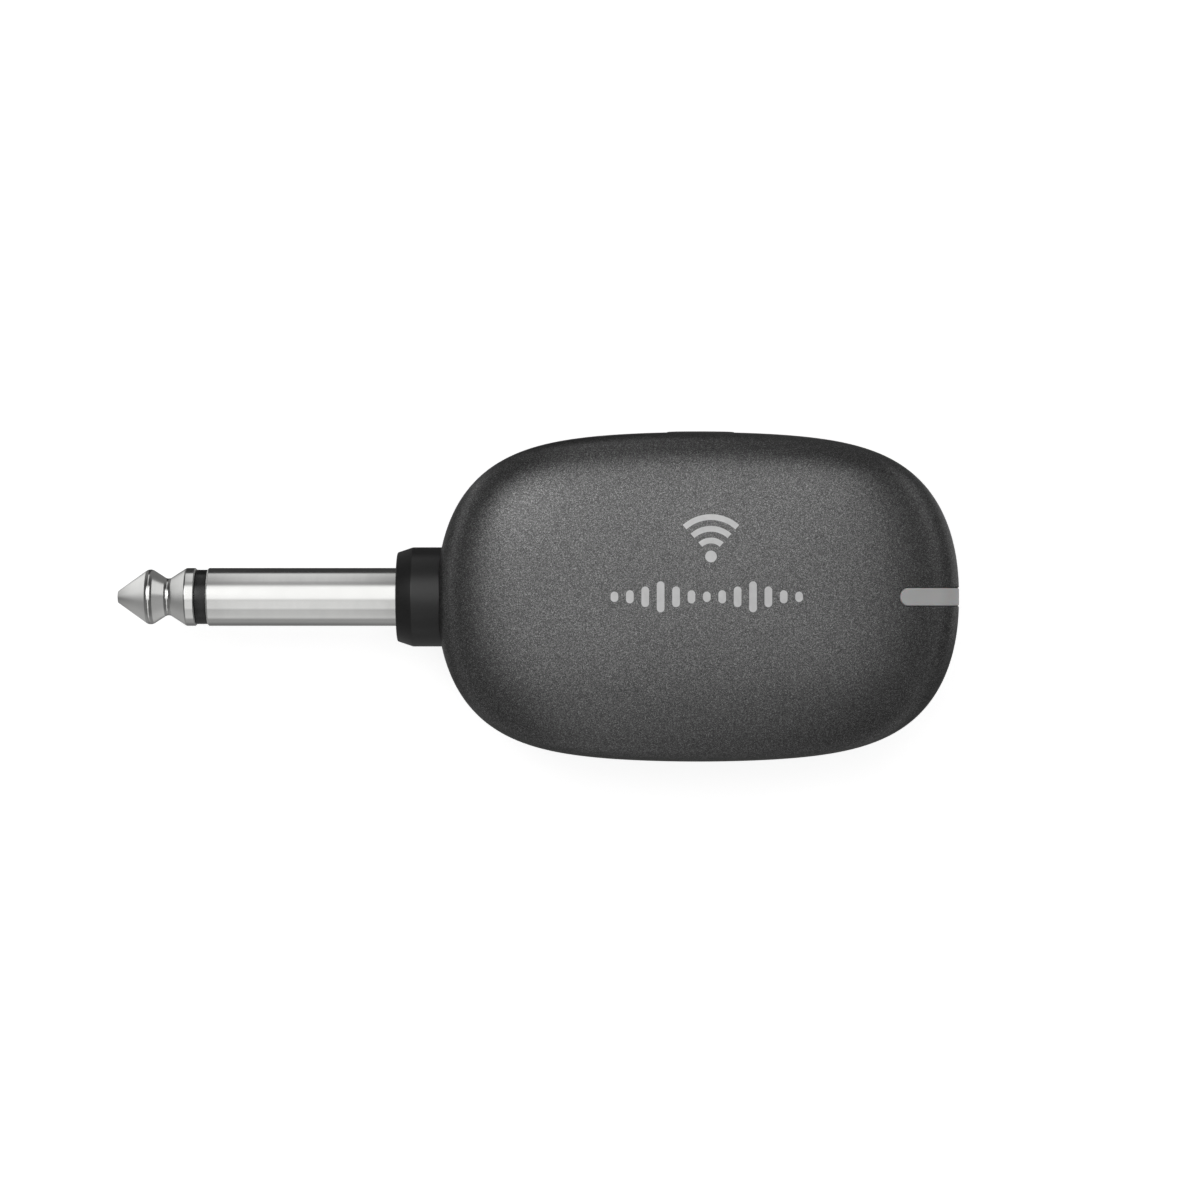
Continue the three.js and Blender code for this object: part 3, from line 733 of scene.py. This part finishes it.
def plastic(name, dark, light, smooth, rough, scale=900):
    """A plain plastic, resin or ceramic with a fine uneven grain."""
    made, tree, shader = material(name, Specular_IOR_Level=0.5)
    mottled(tree, shader, "Base Color", dark, light, scale=scale)
    mottled(tree, shader, "Roughness", smooth, rough, scale=scale * 2, detail=3)
    bump(tree, shader, noise(tree, scale * 4), strength=0.06, distance=0.01)
    return made


looks = {
    "shell": housing_paint(),
    "black_plastic": black_plastic(),
    "black_insulator": insulator_plastic(),
    "nickel": nickel_plate(),
    "diffuser": diffuser_plastic_painted_glow(),
    "gold_contact": metal("gold_plate", (0.78, 0.56, 0.24), (0.88, 0.66, 0.3), 0.16, 0.26),
    "steel": metal("zinc_steel", (0.5, 0.5, 0.51), (0.62, 0.62, 0.63), 0.25, 0.38),
    "foil": metal("cell_foil", (0.62, 0.63, 0.65), (0.72, 0.73, 0.75), 0.3, 0.45, 300),
    "circuit_board": plastic("solder_mask", (0.008, 0.09, 0.04), (0.014, 0.13, 0.06), 0.25, 0.4, 300),
    "tape": plastic("foam_tape", (0.02, 0.02, 0.02), (0.04, 0.04, 0.04), 0.85, 0.95, 1600),
    "chip_package": plastic("chip_resin", (0.012, 0.012, 0.013), (0.02, 0.02, 0.021), 0.5, 0.65),
    "ceramic": plastic("antenna_ceramic", (0.72, 0.7, 0.62), (0.8, 0.78, 0.7), 0.5, 0.6),
    "white_plastic": plastic("white_plastic", (0.74, 0.74, 0.71), (0.8, 0.8, 0.77), 0.35, 0.5),
    "red_insulation": plastic("red_insulation", (0.4, 0.012, 0.01), (0.5, 0.02, 0.015), 0.35, 0.5),
    "black_insulation": plastic("black_insulation", (0.01, 0.01, 0.01), (0.018, 0.018, 0.018), 0.35, 0.5),
}
ink = mark_ink()


def finished(piece, slot, nodes=(), body="housing", look=None):
    """Gives a piece the material of its slot, or the look given, shades it, attaches it to its body, and
    hides the CAD nodes it stands for.
    """
    piece.data.materials.clear()
    piece.data.materials.append(look or looks[slot])
    shade(piece)
    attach(piece, body)
    if nodes:
        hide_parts(*nodes)


# ---- housing pieces ----

def upright_boss(name, surface, radius, inner, x, y):
    """A screw boss from the middle of a wall to the seam."""
    seam_end = level(surface, 2, math.copysign(BOSS_TO_SEAM, -inner))
    rows = [(0, raised(surface, 2, inner)), (0, seam_end)]
    return pill_prism(name, (x, y), radius, radius, rows, round_steps=BOSS_ROUND_STEPS)


def over_end(height):
    """A row at a height over the skin of the +X end."""
    return skin(guide_surface, (1, 0, 1), height)


def off_side(height):
    """A row at a height off the skin of the +Y side."""
    return skin(side_surface, (0, 1, 0), height)


def under_base(height):
    """A row at a height below the base."""
    return raised(base_surface, 2, -height)


def collar_passage(name):
    """A cutter for the collar's hole through the -X end."""
    def at_height(height):
        return raised(plug_end_surface, 0, -height)
    rows = hole_rows(at_height, PASSAGE_GAP, PASSAGE_EDGE, PASSAGE_DEPTH)
    return pill_prism(name, (0, 0), COLLAR_RADIUS, COLLAR_RADIUS, rows, round_steps=PASSAGE_ROUND_STEPS)


def upper_shell():
    shell = half_shell("upper_shell_skin", 1)
    bosses = []
    for sx, sy in corners:
        bosses.append(upright_boss(
            "boss", top_surface, UPPER_BOSS_RADIUS, -WALL / 2, sx * SCREW_X, sy * SCREW_Y))
    combined(shell, bosses, "UNION")
    slot_rows = hole_rows(over_end, SLOT_GAP, SLOT_EDGE, SLOT_DEPTH)
    slot = pill_prism(
        "slot", (guide_foot_path / 2, 0), guide_foot_path / 2, GUIDE_WIDTH / 2, slot_rows, GUIDE_STEPS)
    window_rows = hole_rows(off_side, BUTTON_GAP, WINDOW_EDGE, WINDOW_DEPTH)
    window = pill_prism(
        "window", (BUTTON_X, BUTTON_Z), BUTTON_LENGTH / 2, BUTTON_HEIGHT / 2, window_rows)
    pilots = []
    for sx, sy in corners:
        profile = [(PILOT_FROM, 0), (PILOT_FROM, BORE_RADIUS), (PILOT_TO, BORE_RADIUS), (PILOT_TO, 0)]
        pilots.append(turned_upright("pilot", profile, sx * SCREW_X, sy * SCREW_Y, PILOT_TURN))
    combined(shell, [slot, window, collar_passage("passage"), *pilots], "DIFFERENCE")
    finished(shell, "shell", ["upper_shell"])


def screw_well(x, y):
    """A cutter for a screw's well and the bore above it, from outside the base up past the seam."""
    ceiling = level(base_surface, 2, WELL_CEILING)
    bore = BORE_RADIUS - WELL_RADIUS
    rows = hole_rows(under_base, 0, WELL_EDGE, WELL_DEPTH)[:0:-1]
    rows += [(0, ceiling), (bore, ceiling), (bore, level(base_surface, 2, BORE_TOP))]
    return pill_prism("well", (x, y), WELL_RADIUS, WELL_RADIUS, rows, round_steps=WELL_ROUND_STEPS)


def contact_recess(side):
    """A cutter for the round recess that holds a charging contact."""
    radius = CONTACT_RECESS_RADIUS
    rows = hole_rows(under_base, 0, CONTACT_EDGE, CONTACT_RECESS_DEPTH)
    return pill_prism(
        "recess", (CONTACT_X, side * CONTACT_Y), radius, radius, rows, round_steps=WELL_ROUND_STEPS)


def lower_shell():
    shell = half_shell("lower_shell_skin", -1)
    bosses = []
    for sx, sy in corners:
        bosses.append(upright_boss(
            "boss", base_surface, LOWER_BOSS_RADIUS, WALL / 2, sx * SCREW_X, sy * SCREW_Y))
    combined(shell, bosses, "UNION")
    cutters = [collar_passage("passage")]
    cutters += [screw_well(sx * SCREW_X, sy * SCREW_Y) for sx, sy in corners]
    cutters += [contact_recess(side) for side in (-1, 1)]
    combined(shell, cutters, "DIFFERENCE")
    finished(shell, "shell", ["lower_shell"])


def light_guide():
    rows = [(0, over_end(-GUIDE_DEPTH))] + cap_rows(over_end, GUIDE_EDGE, 0)
    half_length = guide_foot_path / 2
    guide = pill_prism("light_guide_lens", (half_length, 0), half_length, GUIDE_WIDTH / 2, rows, GUIDE_STEPS)
    finished(guide, "diffuser", ["light_guide"])


def side_button():
    """A cap with a flange behind the wall and a stem towards the switch."""
    flange_face = level(side_surface, 1, FLANGE_FACE)
    rows = [(FLANGE_LIP, level(side_surface, 1, FLANGE_BACK)), (FLANGE_LIP, flange_face), (0, flange_face)]
    rows += cap_rows(off_side, BUTTON_EDGE, BUTTON_PROUD)
    button = pill_prism(
        "side_button_cap", (BUTTON_X, BUTTON_Z), BUTTON_LENGTH / 2, BUTTON_HEIGHT / 2, rows)
    stem_rows = [(0, level(side_surface, 1, STEM_FROM)), (0, level(side_surface, 1, STEM_TO))]
    stem = pill_prism("stem", (BUTTON_X, BUTTON_Z), STEM_RADIUS, STEM_RADIUS, stem_rows)
    combined(button, [stem], "UNION")
    finished(button, "shell", ["side_button"], body="button")


# ---- plug ----

def ahead(distance):
    """The x of a place ahead of the collar's front face."""
    return -COLLAR_TO_MIDDLE - distance


def plug_collar():
    """A chamfered tube with a groove round the end that lies inside the housing."""
    bore = SLEEVE_RADIUS + COLLAR_BORE_GAP
    corner_list = [
        (ahead(0), bore, 0.08),
        (ahead(0), COLLAR_FACE_RADIUS, 0.18),
        (ahead(-COLLAR_CHAMFER), COLLAR_RADIUS, 0.5),
        (ahead(-COLLAR_GROOVE_FROM), COLLAR_RADIUS, 0.1),
        (ahead(-COLLAR_GROOVE_FROM), COLLAR_GROOVE_RADIUS, 0.1),
        (ahead(-COLLAR_GROOVE_TO), COLLAR_GROOVE_RADIUS, 0.1),
        (ahead(-COLLAR_GROOVE_TO), COLLAR_RADIUS, 0.1),
        (ahead(-COLLAR_LENGTH), COLLAR_RADIUS, 0.1),
        (ahead(-COLLAR_LENGTH), bore, 0.08),
    ]
    collar = turned("plug_collar_moulding", filleted(corner_list, closed=True), closed=True)
    finished(collar, "black_plastic", ["plug_collar"])


def plug_sleeve():
    corner_list = [
        (ahead(SLEEVE_REACH), SLEEVE_BORE, 0.05),
        (ahead(SLEEVE_REACH), SLEEVE_RADIUS - SLEEVE_BEVEL_DROP, 0.04),
        (ahead(SLEEVE_REACH - SLEEVE_BEVEL), SLEEVE_RADIUS, 0.1),
        (ahead(SLEEVE_REACH - SLEEVE_LENGTH), SLEEVE_RADIUS, 0.1),
        (ahead(SLEEVE_REACH - SLEEVE_LENGTH), SLEEVE_BORE, 0.05),
    ]
    sleeve = turned("plug_sleeve_tube", filleted(corner_list, closed=True), closed=True)
    finished(sleeve, "nickel", ["plug_sleeve"])


def plug_insulator():
    """The black ring between sleeve and tip, and its tube through the sleeve."""
    ring_from = SLEEVE_REACH + RING_GAP
    ring_to = ring_from + RING_WIDTH
    back = ahead(SLEEVE_REACH) + SLEEVE_LENGTH + TUBE_PAST_SLEEVE
    corner_list = [
        (ahead(ring_to), TUBE_BORE, 0.05),
        (ahead(ring_to), RING_RADIUS, 0.06),
        (ahead(ring_from), RING_RADIUS, 0.06),
        (ahead(ring_from), TUBE_RADIUS, 0.05),
        (back, TUBE_RADIUS, 0.05),
        (back, TUBE_BORE, 0.05),
    ]
    insulator = turned("plug_insulator_ring", filleted(corner_list, closed=True), closed=True)
    finished(insulator, "black_insulator", ["plug_insulator"])


def plug_tip():
    """The tip's bulb, waist and shoulder, and the rod behind them."""
    rod_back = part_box("plug_tip")[1].x / MM - middle[0]
    corner_list = [
        (ahead(TIP_END), 0, 0),
        (ahead(TIP_END), TIP_END_RADIUS, 0.1),
        (ahead(BULB_APEX), BULB_APEX_RADIUS, 0.8),
        (ahead(WAIST_AT), WAIST_APEX_RADIUS, 0.7),
        (ahead(SHOULDER_FROM), SLEEVE_RADIUS, 0.35),
        (ahead(SHOULDER_TO + SHOULDER_BEVEL), SLEEVE_RADIUS, 0.06),
        (ahead(SHOULDER_TO), SLEEVE_RADIUS - SHOULDER_BEVEL_DROP, 0.04),
        (ahead(SHOULDER_TO), ROD_RADIUS, 0),
        (rod_back, ROD_RADIUS, 0.1),
        (rod_back, 0, 0),
    ]
    tip = turned("plug_tip_contact", filleted(corner_list, TIP_FILLET_STEPS))
    finished(tip, "nickel", ["plug_tip"])


# ---- generic marks printed on the top ----

def printed_patch(name, s_grid, t_grid):
    """A thin film of ink over the top, from a grid of plan positions."""
    rows, columns = s_grid.shape
    flat_s, flat_t = s_grid.ravel(), t_grid.ravel()
    lower = raised(top_surface, 2, -INK_FILM)(flat_s, flat_t)
    upper = raised(top_surface, 2, INK_FILM)(flat_s, flat_t)
    count = rows * columns
    faces = []
    for i in range(rows - 1):
        for j in range(columns - 1):
            face = (i * columns + j, i * columns + j + 1, (i + 1) * columns + j + 1, (i + 1) * columns + j)
            faces.append(tuple(count + v for v in face))
            faces.append(face[::-1])
    border = list(range(columns))
    border += [i * columns + columns - 1 for i in range(1, rows)]
    border += [(rows - 1) * columns + j for j in range(columns - 2, -1, -1)]
    border += [i * columns for i in range(rows - 2, 0, -1)]
    for a, b in zip(border, border[1:] + border[:1]):
        faces.append((a, b, count + b, count + a))
    return mesh_object(name, np.concatenate([lower, upper]), faces)


def ink_rows(surface):
    """Rows of a film of ink that lies on a surface and dips a little into it."""
    return [(0, raised(surface, 2, -INK_FILM)), (0, raised(surface, 2, INK_FILM))]


def signal_mark():
    """A plain dot with three arcs over it, the common sign for radio."""
    patches = []
    sweep = np.radians(np.linspace(*ARC_SPAN, ARC_COLUMNS))
    for number in range(ARCS):
        radii = ARC_RADIUS + ARC_PITCH * number + np.linspace(-0.5, 0.5, 3) * MARK_LINE
        turn, across = np.meshgrid(sweep, radii, indexing="ij")
        patches.append(printed_patch(
            f"signal_arc_{number + 1}", MARK_X + across * np.cos(turn), MARK_Y + across * np.sin(turn)))
    patches.append(pill_prism(
        "signal_dot", (MARK_X, MARK_Y), MARK_DOT, MARK_DOT, ink_rows(top_surface)))
    return patches


def top_across(s, t):
    """The top again, with s running across the housing, so that a pill's long way stands upright."""
    return top_surface(t, s)


def level_bars():
    """A row of upright bars of rising and falling height, the common sign for sound."""
    bars = []
    for number in range(LEVEL_BARS):
        drop = abs(math.cos(number / (LEVEL_BARS - 1) * 2 * math.pi))
        height = LEVEL_TALLEST - (LEVEL_TALLEST - LEVEL_SHORTEST) * drop
        x = LEVEL_X + (number - (LEVEL_BARS - 1) / 2) * LEVEL_PITCH
        bars.append(pill_prism(
            f"level_bar_{number + 1}", (0, x), height / 2, LEVEL_WIDTH / 2, ink_rows(top_across)))
    return bars


# ---- underside ----

def charge_contact(node, side):
    """A round contact with a shallow dimple in its face and a pin up into the housing."""
    low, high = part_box(node)
    face = low.z / MM - middle[2]
    top = high.z / MM - middle[2]
    corner_list = [
        (face + CONTACT_DIMPLE, 0, 0),
        (face + CONTACT_DIMPLE, CONTACT_DIMPLE_RADIUS, 0.3),
        (face, CONTACT_FLAT_RADIUS, 0.3),
        (face, CONTACT_RADIUS, 0.12),
        (face + CONTACT_THICKNESS, CONTACT_RADIUS, 0.05),
        (face + CONTACT_THICKNESS, CONTACT_PIN_RADIUS, 0.05),
        (top, CONTACT_PIN_RADIUS, 0.05),
        (top, 0, 0),
    ]
    contact = turned_upright(f"{node}_pin", filleted(corner_list), CONTACT_X, side * CONTACT_Y)
    finished(contact, "gold_contact", [node])


def shell_screw(node, x, y):
    """A screw seen from below, with a crowned head and a tapered cross cut into it."""
    low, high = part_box(node)
    bottom = low.z / MM - middle[2]
    end = high.z / MM - middle[2]
    corner_list = [
        (bottom, 0, 0),
        (bottom, SCREW_FACE_RADIUS, 0.2),
        (bottom + SCREW_CROWN, SCREW_HEAD_RADIUS, 0.15),
        (bottom + SCREW_HEAD_HEIGHT, SCREW_HEAD_RADIUS, 0.05),
        (bottom + SCREW_HEAD_HEIGHT, SCREW_THREAD_RADIUS, 0.05),
        (end - SCREW_POINT, SCREW_THREAD_RADIUS, 0.1),
        (end, SCREW_POINT_RADIUS, 0.05),
        (end, 0, 0),
    ]
    screw = turned_upright(f"{node}_driven", filleted(corner_list), x, y)
    cuts = []
    for along, across in ((CROSS_REACH, CROSS_HALF_WIDTH), (CROSS_HALF_WIDTH, CROSS_REACH)):
        points = []
        for height, taper in ((bottom - CROSS_RISE, 1.0), (bottom + CROSS_DEPTH, CROSS_TAPER)):
            for cx, cy in ((-1, -1), (1, -1), (1, 1), (-1, 1)):
                points.append((x + cx * along * taper, y + cy * across * taper, height))
        faces = [(3, 2, 1, 0), (4, 5, 6, 7)] + [(i, (i + 1) % 4, (i + 1) % 4 + 4, i + 4) for i in range(4)]
        cuts.append(mesh_object("cross", points, faces))
    combined(screw, cuts, "DIFFERENCE")
    finished(screw, "steel", [node])


# ---- building ----

upper_shell()
lower_shell()
light_guide()
side_button()
plug_tip()
plug_insulator()
plug_sleeve()
plug_collar()
for patch in [*signal_mark(), *level_bars()]:
    finished(patch, "shell", look=ink)
for node, side in (("charge_contact_negative", -1), ("charge_contact_positive", 1)):
    charge_contact(node, side)
for number, (sx, sy) in enumerate(corners, 1):
    shell_screw(f"shell_screw_{number}", sx * SCREW_X, sy * SCREW_Y)

slot_of = {entry["node"]: entry["material_slot"] for entry in frame["record"]["subparts"]}
for node, piece in frame["nodes"].items():
    if piece.hide_render:
        continue
    piece.data.materials.clear()
    piece.data.materials.append(looks[slot_of[node]])


# ---- stage, light and camera ----

def pale_floor():
    """A plain pale table, lit evenly, that throws no light back on the object and is clear from below."""
    mesh = bpy.data.meshes.new("floor")
    reach = FLOOR_REACH
    mesh.from_pydata(
        [(-reach, -reach, 0), (reach, -reach, 0), (reach, reach, 0), (-reach, reach, 0)], [], [(0, 1, 2, 3)])
    floor = bpy.data.objects.new("floor", mesh)
    bpy.context.scene.collection.objects.link(floor)
    made, tree, shader = material(
        "floor_paper", Base_Color=(0.6, 0.6, 0.6, 1), Roughness=0.9, Specular_IOR_Level=0.1,
        Emission_Color=(1, 1, 1, 1), Emission_Strength=0.8)
    geometry = tree.nodes.new("ShaderNodeNewGeometry")
    clear = tree.nodes.new("ShaderNodeBsdfTransparent")
    mix = tree.nodes.new("ShaderNodeMixShader")
    tree.links.new(geometry.outputs["Backfacing"], mix.inputs["Fac"])
    tree.links.new(shader.outputs["BSDF"], mix.inputs[1])
    tree.links.new(clear.outputs["BSDF"], mix.inputs[2])
    tree.links.new(mix.outputs["Shader"], tree.nodes["Material Output"].inputs["Surface"])
    mesh.materials.append(made)
    floor.location.z = -FLOOR_DROP
    floor.visible_glossy = False
    floor.visible_diffuse = False
    floor.visible_transmission = False


# Softboxes round the object, and one flag that takes light away. Each spans a roll about the plug's axis,
# from straight up towards +Y, and a lean towards +X. soft is the softness of its edges, also in degrees.
SOFTBOXES = {
    "key": dict(roll=(-11, 45), lean=(-27, 19), soft=(6, 3), bright=1.25),
    "key_tail": dict(roll=(8, 45), lean=(4, 19), soft=(6, 3), bright=0.42),
    "key_core": dict(roll=(9, 32), lean=(-28, -16), soft=(5, 4), bright=3.0),
    "over_far": dict(roll=(45, 63), lean=(-11, 0), soft=(4, 3), bright=0.42),
    "near_side": dict(roll=(-49, -13), lean=(-13, 2), soft=(6, 3), bright=0.9),
    "near_low": dict(roll=(-96, -49), lean=(-12, 1), soft=(9, 3), bright=0.65),
    "near_under": dict(roll=(-128, -96), lean=(-12, 1), soft=(12, 3), bright=0.17),
    "far_side": dict(roll=(63, 108), lean=(-10, -1), soft=(5, 3), bright=0.74),
    "far_flag": dict(roll=(108, 165), lean=(-12, 1), soft=(5, 3), bright=-0.15),
}

# Cards that the plug's tip mirrors: narrow ones for its cones, wide dim ones for its rounded parts. Each
# spans the turn about the plug's axis and the slope along it of the faces that throw its light into the lens.
CARDS = {
    "front_far": dict(turn=(1, 68), slope=(-36.8, -30.2), soft=(16, 1.5), bright=0.66),
    "front_near": dict(turn=(-80, 68), slope=(-36.8, -30.2), soft=(12, 1.5), bright=0.27),
    "front_fill": dict(turn=(-74, -5), slope=(-30.5, -8), soft=(12, 2), bright=0.11),
    "back_far": dict(turn=(6, 40), slope=(30.7, 35), soft=(4, 1.5), bright=0.84),
    "back_near": dict(turn=(-74, 40), slope=(30.7, 35), soft=(12, 1.5), bright=0.54),
    "back_fill": dict(turn=(-74, -5), slope=(6, 30.5), soft=(12, 2), bright=0.07),
    "front_under": dict(turn=(-60, 60), slope=(-84, -58), soft=(15, 5), bright=0.3),
    "tail_under": dict(turn=(-15, 75), slope=(55, 84), soft=(15, 5), bright=0.5),
}
TIP_TO_LENS = (0.137, 0, 0.99)
ROOM_ABOVE = 0.07
ROOM_BELOW = 0.2
HORIZON_SOFTNESS = 20
BACKDROP = 1.0


def studio_world():
    """A dim room with soft panels round the object, and a white backdrop that only the camera sees."""
    world = bpy.data.worlds.new("studio")
    bpy.context.scene.world = world
    world.use_nodes = True
    tree = world.node_tree

    def math_node(operation, first, second=None):
        node = tree.nodes.new("ShaderNodeMath")
        node.operation = operation
        for socket, value in zip(node.inputs, (first, second)):
            if isinstance(value, (int, float)):
                socket.default_value = value
            elif value:
                tree.links.new(value, socket)
        return node.outputs["Value"]

    def edge(angle, middle_angle, soft, falling=False):
        node = tree.nodes.new("ShaderNodeMapRange")
        node.interpolation_type = "SMOOTHSTEP"
        node.inputs["From Min"].default_value = math.radians(middle_angle - soft)
        node.inputs["From Max"].default_value = math.radians(middle_angle + soft)
        node.inputs["To Min"].default_value = 1.0 if falling else 0.0
        node.inputs["To Max"].default_value = 0.0 if falling else 1.0
        tree.links.new(angle, node.inputs["Value"])
        return node.outputs["Result"]

    def window(angle, span, soft):
        return math_node("MULTIPLY", edge(angle, span[0], soft), edge(angle, span[1], soft, falling=True))

    def angles(direction):
        """A direction's turn about X, from straight up towards +Y, its slope towards +X and its height."""
        split = tree.nodes.new("ShaderNodeSeparateXYZ")
        tree.links.new(direction, split.inputs["Vector"])
        return (
            math_node("ARCTAN2", split.outputs["Y"], split.outputs["Z"]),
            math_node("ARCSINE", split.outputs["X"]),
            math_node("ARCSINE", split.outputs["Z"]))

    def vector_node(operation, first, second=(0, 0, 0)):
        node = tree.nodes.new("ShaderNodeVectorMath")
        node.operation = operation
        tree.links.new(first, node.inputs[0])
        node.inputs[1].default_value = second
        return node.outputs["Vector"]

    def lit(total, across, along, soft, bright):
        panel = math_node("MULTIPLY", window(*across, soft[0]), window(*along, soft[1]))
        return math_node("ADD", total, math_node("MULTIPLY", panel, bright))

    coordinates = tree.nodes.new("ShaderNodeTexCoord")
    direction = coordinates.outputs["Generated"]
    roll, lean, height = angles(direction)
    turn, slope, _ = angles(vector_node("NORMALIZE", vector_node("ADD", direction, TIP_TO_LENS)))
    above = edge(height, 0, HORIZON_SOFTNESS)
    total = math_node("ADD", math_node("MULTIPLY", above, ROOM_ABOVE - ROOM_BELOW), ROOM_BELOW)
    for box in SOFTBOXES.values():
        total = lit(total, (roll, box["roll"]), (lean, box["lean"]), box["soft"], box["bright"])
    for card in CARDS.values():
        total = lit(total, (turn, card["turn"]), (slope, card["slope"]), card["soft"], card["bright"])
    seen = tree.nodes.new("ShaderNodeLightPath").outputs["Is Camera Ray"]
    unseen = math_node("MULTIPLY", total, math_node("SUBTRACT", 1, seen))
    total = math_node("ADD", unseen, math_node("MULTIPLY", seen, BACKDROP))
    background = tree.nodes["Background"]
    background.inputs["Color"].default_value = (1, 1, 1, 1)
    tree.links.new(total, background.inputs["Strength"])


def photo_camera():
    """The photograph's camera, straight above the object and looking down."""
    data = bpy.data.cameras.new("camera")
    data.lens = LENS
    data.sensor_width = SENSOR
    data.clip_start = NEAREST_SEEN
    camera = bpy.data.objects.new("camera", data)
    camera.location = placed([[CAMERA_ASIDE, CAMERA_BELOW, CAMERA_HEIGHT]])[0]
    bpy.context.scene.collection.objects.link(camera)
    bpy.context.scene.camera = camera


pale_floor()
studio_world()
photo_camera()
bpy.context.scene.view_settings.view_transform = "Standard"
